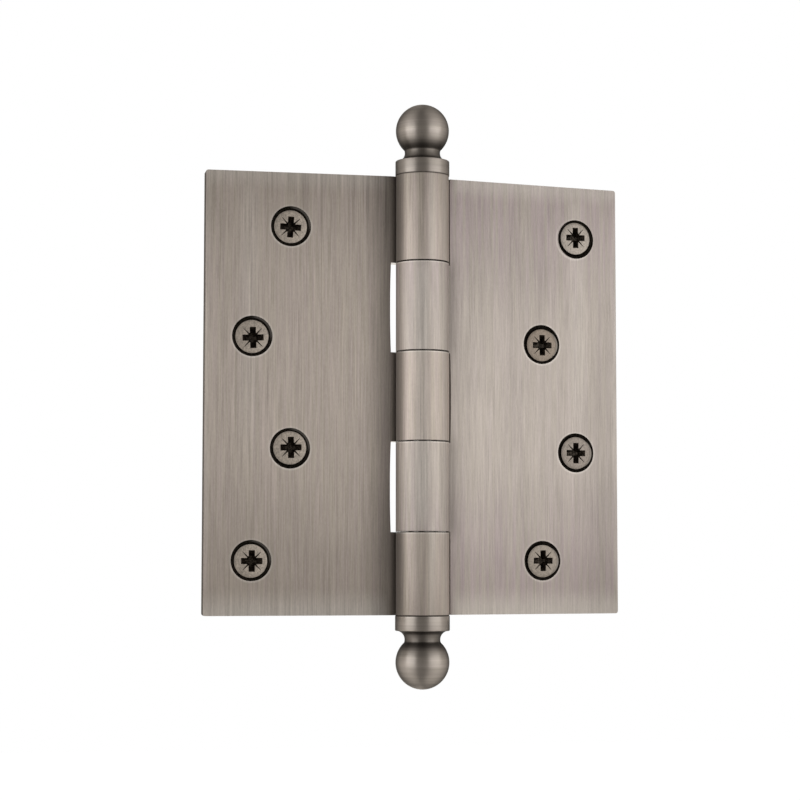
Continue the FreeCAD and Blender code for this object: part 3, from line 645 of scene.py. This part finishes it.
# Painted light: the frame's heads and each door head get their own lighter or darker copy of the head
# metal.
frame_head_metal = brushed_metal("frame_screw_head", FRAME_HEAD, FRAME_HEAD, HEAD_FINISH, FAINT_STREAKS)
door_head_metals = [
    brushed_metal(f"door_screw_head_{row + 1}", colour, colour, HEAD_FINISH, FAINT_STREAKS)
    for row, colour in enumerate(UPPER_HEADS + LOWER_HEADS)
]
pin_metal = brushed_metal("drawn_pin", PIN_COLOUR, PIN_TINT, PIN_FINISH, TIP_STREAKS)
thread_metal = brushed_metal("screw_thread", THREAD_COLOUR, THREAD_COLOUR, THREAD_FINISH, FAINT_STREAKS)
# Lighter than the plates: a painted highlight on the broken edges.
edge_metal = brushed_metal("edge_highlight", *edge_look)


# ------ near-black steel, with painted light on the countersinks

DARK = (0.005, 0.0035, 0.0025)
BLACK = (0.0025, 0.002, 0.0015)
# Greys of painted light over the black: on the lit walls of the frame's countersinks, and in the
# highlight crescents of the door's.
LIT_WALL_GREY = (0.065, 0.058, 0.052)
CRESCENT_HIGHLIGHT_GREY = (0.36, 0.32, 0.28)
RECESS_GLOSS, FRAME_SINK_GLOSS, DOOR_SINK_GLOSS = 0.35, 0.05, 0.08
DARK_ROUGHNESS = 0.45
DARK_SHEEN = (1.0, 0.85, 0.7, 1)
SPOTS = (2500, 2500, 2500)
SPOT_SPREAD = (0.35, 0.65)
SPOT_LIGHTER = 4
SPOT_GLOSS, CLEAR_GLOSS = 1.5, 0.25

FRAME_FACE = PIN_AXIS.y + LEAF_FACE
FRAME_LIT_SIDE = (-0.75, 0, -0.66)
FRAME_LIT_SPREAD = (0.4, 0.6)
FRAME_LIT_DEPTH = (FRAME_FACE + 0.35, FRAME_FACE + 0.5, 1.0, 0.0)
INTO_DOOR = (-math.sin(REST_ANGLE), math.cos(REST_ANGLE), 0)
DOOR_FACE = PIN_AXIS.y * INTO_DOOR[1] + PIN_AXIS.x * INTO_DOOR[0] + LEAF_FACE
# The painted highlight crescent in the door's countersinks: the side it faces, how far it reaches, and
# how deep.
CRESCENT_SIDE = (-1.35, 0, 0.1)
CRESCENT_REACH = 0.84
CRESCENT = (DOOR_FACE + 0.95, DOOR_FACE + 1.06)
BELOW_TOP_ROW = (24, 27, 1.0, 0.0)


def frame_lit_walls(tree, texture):
    """Painted light on the frame leaf's countersinks: grey near the surface, where their walls face the
    foot and the outer edge and are lit."""
    facing = tree.dot(texture["Normal"], FRAME_LIT_SIDE)
    near = tree.fade(tree.parts(texture["Object"])[1], *FRAME_LIT_DEPTH)
    return tree.times(tree.ramp(facing, *FRAME_LIT_SPREAD), near), LIT_WALL_GREY


def door_crescent_highlight(tree, texture):
    """A painted highlight on the door leaf's countersinks, in a crescent on the outer side beside the
    heads' rounded edges, in all rows but the top one."""
    facing = tree.dot(texture["Normal"], CRESCENT_SIDE)
    depth = tree.dot(texture["Object"], INTO_DOOR)
    reach = tree.maths("MULTIPLY_ADD", facing, CRESCENT_REACH * MM, depth)
    below = tree.fade(tree.parts(texture["Object"])[2], *BELOW_TOP_ROW)
    return tree.times(tree.fade(reach, *CRESCENT), below), CRESCENT_HIGHLIGHT_GREY


def dark_steel(name, colour, gloss, painted_light=None):
    """Near-black steel in the countersinks and in the screws' recesses. The last argument makes the mask
    and the colour of painted light laid over the black."""
    material, tree = new_material(name)
    texture = tree.add("TexCoord").outputs
    noise = tree.noise(tree.vector("MULTIPLY", texture["Object"], SPOTS))
    spots = tree.ramp(noise, *SPOT_SPREAD)
    shade = tree.mix(spots, (*colour, 1), (*(SPOT_LIGHTER * part for part in colour), 1))
    if painted_light is not None:
        lit, lit_colour = painted_light(tree, texture)
        shade = tree.mix(lit, shade, (*lit_colour, 1))
    specular = tree.maths("MULTIPLY_ADD", spots, SPOT_GLOSS * gloss, CLEAR_GLOSS * gloss)
    inputs = {"Base Color": shade, "Roughness": DARK_ROUGHNESS}
    inputs.update({"Specular IOR Level": specular, "Specular Tint": DARK_SHEEN})
    surface = tree.add("BsdfPrincipled", inputs)
    tree.add("OutputMaterial", {"Surface": surface.outputs[0]})
    return material


recess_metal = dark_steel("dark_recess", DARK, RECESS_GLOSS)
frame_sink = dark_steel("frame_countersink", BLACK, FRAME_SINK_GLOSS, frame_lit_walls)
door_sink = dark_steel("door_countersink", BLACK, DOOR_SINK_GLOSS, door_crescent_highlight)
end_metal = brushed_metal("sheared_end", END_COLOUR, END_COLOUR, END_FINISH, FAINT_STREAKS)


# ------ leaves

# Where a leaf keeps the metal of its broken edges and of the ends of its knuckles.
EDGE_SLOT, END_SLOT = 2, 3


def leaf_outline(bow=0.0):
    """Three runs of the outline of the door's leaf round the pin: plate front, rolled part, plate back.

    The rolled part starts where the notches of the plate end. bow moves that place away from the pin."""
    sin, cos = math.sin(SWAGE_ANGLE), math.cos(SWAGE_ANGLE)
    outer_bend = SWAGE_BEND + LEAF_THICKNESS
    corner = BORE_RADIUS * sin + (BORE_RADIUS * cos - LEAF_FACE) / sin * cos
    bend_x = corner + outer_bend * math.tan(SWAGE_ANGLE / 2)
    bend_centre = (bend_x, LEAF_BACK + SWAGE_BEND)
    down = math.radians(270)
    swaged = down - SWAGE_ANGLE
    leaving = math.radians(90) - SWAGE_ANGLE
    end_level = LEAF_FACE - SEAM_GAP
    outer_end = math.asin(end_level / BARREL_RADIUS)
    rolled_x = math.sqrt(BARREL_RADIUS**2 - end_level**2)
    inner_end = leaving - math.acos((rolled_x * sin + end_level * cos) / BORE_RADIUS)
    notch_x = BARREL_RADIUS + NOTCH_CLEARANCE + bow
    front_notch = down - math.asin((bend_x - notch_x) / outer_bend)
    back_notch = down - math.asin((bend_x - notch_x) / SWAGE_BEND)

    front = [(LEAF_WIDTH, LEAF_FACE)] + arc(bend_centre, outer_bend, down, front_notch, 1)
    rolled = arc(bend_centre, outer_bend, front_notch, swaged, OUTER_BEND_STEPS)
    rolled += arc((0, 0), BORE_RADIUS, leaving, math.tau + inner_end, BORE_STEPS)
    rolled += arc((0, 0), BARREL_RADIUS, math.tau + outer_end, leaving, ROLL_STEPS)
    rolled += arc(bend_centre, SWAGE_BEND, swaged, back_notch, INNER_BEND_STEPS)
    back = arc(bend_centre, SWAGE_BEND, back_notch, down, 2) + [(LEAF_WIDTH, LEAF_BACK)]
    return front, rolled, back


def knuckle_spans(first):
    """Top and bottom of each knuckle of a leaf, whose first one is counted from the top."""
    edges = [TOP_JOINT - number * KNUCKLE_PITCH for number in range(KNUCKLES - 1)]
    edges = [HALF_HEIGHT + KNUCKLE_GAP / 2, *edges, -HALF_HEIGHT - KNUCKLE_GAP / 2]
    spans = []
    for number in range(first, KNUCKLES + 1, 2):
        spans.append((edges[number - 1] - KNUCKLE_GAP / 2, edges[number] + KNUCKLE_GAP / 2))
    return spans


def build_plate(side, spans):
    """One leaf as a stack of slices, which have the rolled part only where there is a knuckle.

    The notches between two knuckles are bowed a little."""
    front, rolled, back = leaf_outline()
    ends = sorted({-HALF_HEIGHT, HALF_HEIGHT, *[round(level, 6) for span in spans for level in span]})
    whole = front[:-1] + rolled + back[1:]
    first, last = len(front) - 1, len(front) + len(rolled) - 2
    mesh_data = bmesh.new()
    levels, rows = [], []

    def at_knuckle(level):
        return any(low < level < high for high, low in spans)

    def add_row(level, bow):
        points = list(whole)
        if bow:
            bowed = leaf_outline(bow)[1]
            points[first], points[last] = bowed[0], bowed[-1]
        levels.append(level)
        rows.append([mesh_data.verts.new((side * x, y, level)) for x, y in points])

    for low, high in zip(ends, ends[1:]):
        add_row(low, 0.0)
        inside = low > -HALF_HEIGHT and high < HALF_HEIGHT
        if inside and not at_knuckle((low + high) / 2):
            for step in range(1, NOTCH_STEPS):
                share = step / NOTCH_STEPS
                add_row(low + (high - low) * share, NOTCH_BOW * 4 * share * (1 - share))
    add_row(HALF_HEIGHT, 0.0)

    def has_knuckle(slice_number):
        """True or False for a slice of the leaf, and None past its ends."""
        if not 0 <= slice_number < len(levels) - 1:
            return None
        return at_knuckle((levels[slice_number] + levels[slice_number + 1]) / 2)

    for number in range(len(levels) - 1):
        lower, upper = rows[number], rows[number + 1]
        for place in range(len(whole)):
            following = (place + 1) % len(whole)
            if first <= place < last and not has_knuckle(number):
                continue
            mesh_data.faces.new((lower[place], lower[following], upper[following], upper[place]))
        if not has_knuckle(number):
            mesh_data.faces.new((lower[first], lower[last], upper[last], upper[first]))
    for number, row in enumerate(rows):
        below, above = has_knuckle(number - 1), has_knuckle(number)
        plate_end = row[: first + 1] + row[last:]
        if below is None or above is None:
            mesh_data.faces.new(plate_end)
        if bool(below) != bool(above):
            mesh_data.faces.new(row[first : last + 1]).material_index = END_SLOT
    loose = [vertex for vertex in mesh_data.verts if not vertex.link_faces]
    bmesh.ops.delete(mesh_data, geom=loose, context="VERTS")
    bmesh.ops.recalc_face_normals(mesh_data, faces=mesh_data.faces)

    def at_corner(vertex):
        aside, above = abs(vertex.co.x) - LEAF_WIDTH, abs(vertex.co.z) - HALF_HEIGHT
        return abs(aside) < CLOSE and abs(above) < CLOSE

    corners = []
    for edge in mesh_data.edges:
        start, end = edge.verts
        if at_corner(start) and at_corner(end) and abs(start.co.y - end.co.y) > LEAF_THICKNESS / 2:
            corners.append(edge)
    rounding = {"offset": LEAF_CORNER, "segments": LEAF_CORNER_STEPS, "profile": 0.5}
    bmesh.ops.bevel(mesh_data, geom=corners, affect="EDGES", **rounding)
    return mesh_data


def screw_places(side, first_column, drilled):
    """Centre of each hole across and along the leaf, from the top row down, as it was drilled."""
    places = []
    for row in range(ROWS):
        column = COLUMNS[(first_column + row) % 2]
        off_across, off_along = drilled[row]
        places.append((side * column + off_across, ((ROWS - 1) / 2 - row) * SCREW_PITCH + off_along))
    return places


def place_from_axis(turn):
    """What takes a thing drawn about the origin to the pin's axis, after a turn about it."""
    to_pin = Matrix.Translation(Vector((PIN_AXIS.x, PIN_AXIS.y, 0)) * MM)
    return to_pin @ Matrix.Rotation(turn, 4, "Z")


def build_leaf(name, body, side, first_knuckle, first_column, drilled, turn, metal, sink_metal):
    """One leaf with its countersunk holes, on its place."""
    plate = build_plate(side, knuckle_spans(first_knuckle))
    leaf = new_object(name, plate, [metal, sink_metal, edge_metal, end_metal])
    holes = bmesh.new()
    past = 1.0
    sink_depth = SINK_RADIUS - HOLE_RADIUS
    profile = (
        (0, LEAF_FACE - past),
        (SINK_RADIUS + past, LEAF_FACE - past),
        (HOLE_RADIUS, LEAF_FACE + sink_depth),
        (HOLE_RADIUS, LEAF_BACK + past),
        (0, LEAF_BACK + past),
    )
    for across, along in screw_places(side, first_column, drilled):
        lathe(holes, profile, HOLE_STEPS, Vector((0, 1, 0)), Vector((across, 0, along)))
    cut(leaf, new_object(f"{name}_holes", holes, [sink_metal]))
    soften(leaf, EDGE_BREAK, EDGE_SLOT)
    leaf.data.transform(place_from_axis(turn))
    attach(leaf, body)
    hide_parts(name.replace("brushed_", ""))


frame_layout = (FRAME_SIDE, 1, 0, FRAME_DRILLED, 0.0)
door_layout = (DOOR_SIDE, 2, 1, DOOR_DRILLED, REST_ANGLE)
build_leaf("brushed_frame_leaf", "frame", *frame_layout, frame_metal, frame_sink)
build_leaf("brushed_door_leaf", "door", *door_layout, door_metal, door_sink)


# ------ tips and pin


def tip_profile():
    """Collar, cove and ball from the edge of the seat to the top, as radius and height above the seat."""
    cove_centre = (COLLAR_RADIUS - COLLAR_LAND, COLLAR_HEIGHT + COVE_RADIUS)
    crease = cove_centre[0] - COVE_RADIUS + CREASE_RISE
    crease_angle = math.acos((crease - cove_centre[0]) / COVE_RADIUS)
    crease_height = cove_centre[1] + COVE_RADIUS * math.sin(crease_angle)
    ball_height = crease_height + math.sqrt(BALL_RADIUS**2 - crease**2)
    ball_start = -math.acos(crease / BALL_RADIUS)
    quarter = math.pi / 2
    inner = COLLAR_RADIUS - COLLAR_EDGE
    edge_top = (inner, COLLAR_HEIGHT - COLLAR_EDGE)
    profile = arc((inner, COLLAR_EDGE), COLLAR_EDGE, -quarter, 0, COLLAR_EDGE_STEPS)
    profile += arc(edge_top, COLLAR_EDGE, 0, quarter, COLLAR_EDGE_STEPS)
    profile += arc(cove_centre, COVE_RADIUS, 3 * quarter, crease_angle, COVE_STEPS)
    profile += arc((0, ball_height), BALL_RADIUS, ball_start, quarter, BALL_STEPS)[1:-1]
    profile.append((0, ball_height + BALL_RADIUS))
    return profile


def build_turned(name, body, node, profile, up, level, material, slot_name):
    """A turned piece on the pin's axis, with its foot at a level and its head up or down."""
    mesh_data = bmesh.new()
    lathe(mesh_data, profile, TURNED_STEPS, Vector((0, 0, up)), Vector((0, 0, level)))
    piece = new_object(name, mesh_data, [material])
    shade_round(piece)
    piece.data.transform(place_from_axis(0.0))
    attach(piece, body)
    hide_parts(node)


tapped = [(0, TAPPED_DEPTH), (TAPPED_RADIUS, TAPPED_DEPTH), (TAPPED_RADIUS, 0)]
top_tip = (tapped + tip_profile(), 1, HALF_HEIGHT, tip_metal, "tip_finish")
build_turned("turned_top_tip", "pin", "top_ball_tip", *top_tip)
stem = [(0, -STEM_LENGTH), (PIN_RADIUS, -STEM_LENGTH), (PIN_RADIUS, 0)]
bottom_tip = (stem + tip_profile(), -1, -HALF_HEIGHT - TIP_GAP, tip_metal, "tip_finish")
build_turned("turned_bottom_tip", "frame", "bottom_ball_tip", *bottom_tip)
pin_profile = [
    (0, PIN_FOOT.z),
    (PIN_RADIUS - PIN_CHAMFER, PIN_FOOT.z),
    (PIN_RADIUS, PIN_FOOT.z + PIN_CHAMFER),
    (PIN_RADIUS, HALF_HEIGHT),
    (TAPPED_RADIUS, HALF_HEIGHT),
    (TAPPED_RADIUS, PIN_TOP.z),
    (0, PIN_TOP.z),
]
build_turned("drawn_pin", "pin", "hinge_pin", pin_profile, 1, 0, pin_metal, "pin_steel")


# ------ screws

# Where a screw keeps the metal of its recess, which the sides of its head also take as painted shade, and
# of its thread.
RECESS_SLOT, THREAD_SLOT = 1, 2


def prism(mesh_data, outline, top, bottom, taper):
    """A tapered prism along +Y from an outline of (x, z) points."""
    upper = [mesh_data.verts.new((x, top, z)) for x, z in outline]
    lower = [mesh_data.verts.new((x * taper, bottom, z * taper)) for x, z in outline]
    count = len(outline)
    for place in range(count):
        following = (place + 1) % count
        mesh_data.faces.new((upper[place], upper[following], lower[following], lower[place]))
    mesh_data.faces.new(upper)
    mesh_data.faces.new(lower)


def recess_cutter():
    """The cross recess with its square core."""
    mesh_data = bmesh.new()
    half, reach, core = RECESS_WIDTH / 2, RECESS_REACH, RECESS_CORE
    outline = []
    for quarter in range(4):
        turn = Matrix.Rotation(math.radians(90 * quarter), 2)
        for corner in ((half, reach), (-half, reach), (-half, core), (-core, core), (-core, half)):
            outline.append(tuple(turn @ Vector(corner)))
    prism(mesh_data, outline, -CUTTER_RISE, RECESS_DEPTH, RECESS_TAPER)
    return new_object("recess_cutter", mesh_data, [recess_metal])


def tick_cutter():
    """Four fine grooves between the arms of the cross."""
    mesh_data = bmesh.new()
    start, end = (TICK_START, 1), (TICK_END, TICK_END_SHARE)
    for quarter in range(4):
        turn = Matrix.Rotation(math.radians(45 + 90 * quarter), 2)
        outline = []
        for along, across in (start, end, (end[0], -end[1]), (start[0], -start[1])):
            outline.append(tuple(turn @ Vector((along, across * TICK_WIDTH / 2))))
        prism(mesh_data, outline, -CUTTER_RISE, TICK_DEPTH, 1.0)
    return new_object("tick_cutter", mesh_data, [recess_metal])


def add_thread(mesh_data, start):
    """The threaded part of a screw along +Y, which fades in at its start and out at its point."""
    steps = int((SCREW_LENGTH - start) / THREAD_PITCH * STEPS_PER_PITCH)
    rings = []
    for step in range(steps + 1):
        height = start + (SCREW_LENGTH - start) * step / steps
        fade = min(1.0, max(0.0, (SCREW_LENGTH - height) / POINT_LENGTH))
        begin = min(1.0, (height - start) / THREAD_RUN_IN)
        ring = []
        for place in range(THREAD_STEPS):
            angle = math.tau * place / THREAD_STEPS
            phase = (height / THREAD_PITCH - place / THREAD_STEPS) % 1.0
            crest = max(0.0, 1 - abs(phase - 0.5) / CREST_SHARE)
            root = THREAD_ROOT * fade**POINT_CURVE
            crest_height = (THREAD_RADIUS - THREAD_ROOT) * crest * begin * min(1.0, fade * POINT_CREST)
            radius = max(root + crest_height, POINT_RADIUS)
            ring.append(mesh_data.verts.new((radius * math.cos(angle), height, radius * math.sin(angle))))
        rings.append(ring)
    for lower, upper in zip(rings, rings[1:]):
        for place in range(THREAD_STEPS):
            following = (place + 1) % THREAD_STEPS
            face = mesh_data.faces.new((lower[place], lower[following], upper[following], upper[place]))
            face.material_index = THREAD_SLOT
    mesh_data.faces.new(rings[0]).material_index = THREAD_SLOT
    mesh_data.faces.new(rings[-1]).material_index = THREAD_SLOT


def build_screw(name, head_metal, punched):
    """A countersunk wood screw along +Y, with the top of its head on y = 0 and its recess off centre."""
    mesh_data = bmesh.new()
    under_head = HEAD_LAND + HEAD_RADIUS - SHANK_RADIUS
    neck = LEAF_THICKNESS - DOOR_HEAD_DEPTH
    head = [
        (0, 0),
        (HEAD_RADIUS - HEAD_ROUND, 0),
        (HEAD_RADIUS - ROUND_IN, ROUND_DOWN),
        (HEAD_RADIUS, HEAD_LAND),
        (SHANK_RADIUS, under_head),
        (SHANK_RADIUS, neck),
        (THREAD_ROOT, neck + THREAD_NECK),
    ]
    lathe(mesh_data, [(radius, -height) for radius, height in head], HEAD_STEPS, Vector((0, -1, 0)))
    # The head's sides, down in the gap round the head, take the recess's near-black metal as painted
    # shade.
    for face in mesh_data.faces:
        if HEAD_LAND < face.calc_center_median().y < under_head:
            face.material_index = RECESS_SLOT
    bmesh.ops.holes_fill(mesh_data, edges=mesh_data.edges)
    metals = [head_metal, recess_metal, thread_metal]
    blank = new_object(f"{name}_blank", mesh_data, metals)
    for cutter in (recess_cutter(), tick_cutter()):
        cutter.data.transform(Matrix.Translation(Vector((punched[0], 0, punched[1])) * MM))
        cut(blank, cutter)

    thread = bmesh.new()
    thread.from_mesh(blank.data)
    bmesh.ops.scale(thread, vec=(1 / MM, 1 / MM, 1 / MM), verts=thread.verts)
    add_thread(thread, neck + THREAD_NECK / 2)
    bpy.data.objects.remove(blank)
    screw = new_object(name, thread, metals)
    shade_round(screw)
    keep_flats(screw, True)
    bake_modifiers(screw)
    return screw


def drive_screws(node, body, places, driven, punched, depth, leaf_turn, head_metals):
    """One leaf's four screws, each as it was driven."""
    for row, (across, along) in enumerate(places):
        screw = build_screw(f"{node}_{row + 1}", head_metals[row], punched[row])
        turn, aside, up = driven[row]
        seat = Matrix.Translation(Vector((across + aside, LEAF_FACE + depth, along + up)) * MM)
        turned = Matrix.Rotation(math.radians(turn), 4, "Y")
        screw.data.transform(place_from_axis(leaf_turn) @ seat @ turned)
        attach(screw, body)
        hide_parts(node)


frame_screws = (screw_places(FRAME_SIDE, 0, FRAME_DRILLED), FRAME_DRIVEN, FRAME_PUNCHED)
door_screws = (screw_places(DOOR_SIDE, 1, DOOR_DRILLED), DOOR_DRIVEN, DOOR_PUNCHED)
frame_head_metals = [frame_head_metal] * ROWS
drive_screws("frame_leaf_screws", "frame", *frame_screws, FRAME_HEAD_DEPTH, 0.0, frame_head_metals)
drive_screws("door_leaf_screws", "door", *door_screws, DOOR_HEAD_DEPTH, REST_ANGLE, door_head_metals)


# ------ camera

CAMERA_PLACE = Vector((-66.83, -478.55, -37.97))
CAMERA_YAW = math.radians(11.505)
CAMERA_PITCH = math.radians(4.315)
CAMERA_ROLL = math.radians(0.041)
CAMERA_LENS, SENSOR_WIDTH = 94.88, 36
NEAREST, FARTHEST = 0.01, 20

camera_data = bpy.data.cameras.new("camera")
camera_data.lens = CAMERA_LENS
camera_data.sensor_width = SENSOR_WIDTH
camera_data.clip_start = NEAREST
camera_data.clip_end = FARTHEST
camera = bpy.data.objects.new("camera", camera_data)
bpy.context.scene.collection.objects.link(camera)
camera.matrix_world = (
    Matrix.Translation(CAMERA_PLACE * MM)
    @ Matrix.Rotation(-CAMERA_YAW, 4, "Z")
    @ Matrix.Rotation(math.pi / 2 + CAMERA_PITCH, 4, "X")
    @ Matrix.Rotation(CAMERA_ROLL, 4, "Z")
)
bpy.context.scene.camera = camera


# ------ studio

# Distances and sizes in the studio are in metres.
CAMERA_SIDE = -math.degrees(CAMERA_YAW)
WHITE, PALE = (1, 1, 1, 1), (0.8, 0.8, 0.8, 1)
FLOOR_LEVEL, FLOOR_REACH, FLOOR_LIFT = -0.62, 6.0, 0.4
LAMP_DISTANCE = 0.42
# Name, place to the right of the camera and elevation in degrees, width, height, and brightness, where 1
# is as bright as the white background.
SOFTBOXES = (
    ("left_softbox", -51, 5.7, 0.37, 0.19, 1.75),
    ("right_softbox", 58, 5.1, 0.42, 0.17, 1.22),
)
SCRIM_DISTANCE = 0.6
SCRIM_SEGMENTS, SCRIM_RINGS = 64, 32
SCRIM_TINT = (1.0, 0.95, 0.88)
# Share of the white background that the scrim lets through, from the back (0) to the front (1),
# and from straight below (0) to straight above (1).
SCRIM_BACK = ((0.0, 1.0), (0.012, 0.12), (0.08, 0.12), (0.2, 0.38), (0.4, 0.8))
SCRIM_FRONT = ((0.6, 0.9), (0.75, 0.9), (0.9, 0.62), (0.965, 0.3), (1.0, 0.3))
SCRIM_BELOW = ((0.0, 0.65), (0.2, 0.8), (0.4, 0.85), (0.5, 0.95))
SCRIM_ABOVE = ((0.62, 0.8), (0.75, 0.65), (0.9, 0.6), (1.0, 0.4))


def seen_directly(tree):
    """1 for what the camera sees, also in metal and through glass, and 0 for what lights the object."""
    path = tree.add("LightPath").outputs
    seen = tree.plus(path["Is Camera Ray"], path["Is Glossy Ray"])
    return tree.maths("ADD", seen, path["Is Transmission Ray"], clamp=True)


def build_world():
    """A white background, which lights the object a little less brightly than it looks."""
    world = bpy.data.worlds.new("studio")
    bpy.context.scene.world = world
    world.use_nodes = True
    world.cycles.sampling_method = "NONE"
    tree = Nodes(world.node_tree)
    level = tree.mix(seen_directly(tree), PALE, WHITE)
    light = tree.add("Background", {"Color": level, "Strength": 1.0})
    tree.add("OutputWorld", {"Surface": light.outputs[0]})


def build_floor():
    """A white paper floor far below the hinge, lifted to the white of the background where it's seen."""
    mesh_data = bmesh.new()
    bmesh.ops.create_grid(mesh_data, x_segments=1, y_segments=1, size=FLOOR_REACH / MM)
    bmesh.ops.translate(mesh_data, vec=(0, 0, FLOOR_LEVEL / MM), verts=mesh_data.verts)
    material, tree = new_material("white_floor")
    paper = tree.add("BsdfDiffuse", {"Color": PALE})
    strength = tree.times(seen_directly(tree), FLOOR_LIFT)
    lift = tree.add("Emission", {"Color": WHITE, "Strength": strength})
    both = tree.add("AddShader", {0: paper.outputs[0], 1: lift.outputs[0]})
    tree.add("OutputMaterial", {"Surface": both.outputs[0]})
    floor = new_object("floor", mesh_data, [material])


def aim(azimuth, elevation, distance):
    """Where something stands round the hinge, in metres. Azimuth 0 is in front of it, 90 on its right."""
    flat = distance * math.cos(elevation)
    return Vector((flat * math.sin(azimuth), -flat * math.cos(azimuth), distance * math.sin(elevation)))


def softbox(name, azimuth, elevation, width, height, level):
    """An area lamp that faces the hinge and isn't seen by the camera."""
    lamp = bpy.data.lights.new(name, "AREA")
    lamp.shape = "RECTANGLE"
    lamp.size = width
    lamp.size_y = height
    lamp.energy = level * math.pi * width * height
    holder = bpy.data.objects.new(name, lamp)
    bpy.context.scene.collection.objects.link(holder)
    holder.location = aim(math.radians(azimuth), math.radians(elevation), LAMP_DISTANCE)
    holder.rotation_euler = holder.location.to_track_quat("Z", "Y").to_euler()
    holder.visible_camera = False


def steps(tree, value, stops):
    """A smooth curve through (position, level) stops, whose positions 0 to 1 are values from -1 to 1."""
    ramp = tree.add("ValToRGB", {"Fac": tree.maths("MULTIPLY_ADD", value, 0.5, 0.5)})
    ramp.color_ramp.interpolation = "B_SPLINE"
    elements = ramp.color_ramp.elements
    while len(elements) < len(stops):
        elements.new(0.5)
    for element, (position, level) in zip(elements, stops):
        element.position = position
        element.color = (level, level, level, 1)
    return ramp.outputs["Color"]


def build_scrim():
    """A tent of cloth round the hinge that only the metal mirrors. It dims the white behind it."""
    mesh_data = bmesh.new()
    segments = {"u_segments": SCRIM_SEGMENTS, "v_segments": SCRIM_RINGS}
    bmesh.ops.create_uvsphere(mesh_data, radius=SCRIM_DISTANCE / MM, **segments)
    material, tree = new_material("scrim_cloth")
    direction = tree.vector("NORMALIZE", tree.add("TexCoord").outputs["Object"])
    level_direction = tree.vector("NORMALIZE", tree.vector("MULTIPLY", direction, (1, 1, 0)))
    front = aim(math.radians(CAMERA_SIDE), 0, 1)
    facing = tree.dot(level_direction, front)
    around = steps(tree, facing, SCRIM_BACK + SCRIM_FRONT)
    upward = steps(tree, tree.parts(direction)[2], SCRIM_BELOW + SCRIM_ABOVE)
    through = tree.mix(1.0, tree.mix(1.0, around, upward, "MULTIPLY"), (*SCRIM_TINT, 1), "MULTIPLY")
    cloth = tree.add("BsdfTransparent", {"Color": through})
    tree.add("OutputMaterial", {"Surface": cloth.outputs[0]})
    scrim = new_object("scrim", mesh_data, [material])
    scrim.visible_camera = False
    scrim.visible_shadow = False
    scrim.visible_diffuse = False


build_world()
build_floor()
for name, aside, elevation, width, height, level in SOFTBOXES:
    softbox(name, CAMERA_SIDE + aside, elevation, width, height, level)
build_scrim()

bpy.context.scene.view_settings.view_transform = "Standard"
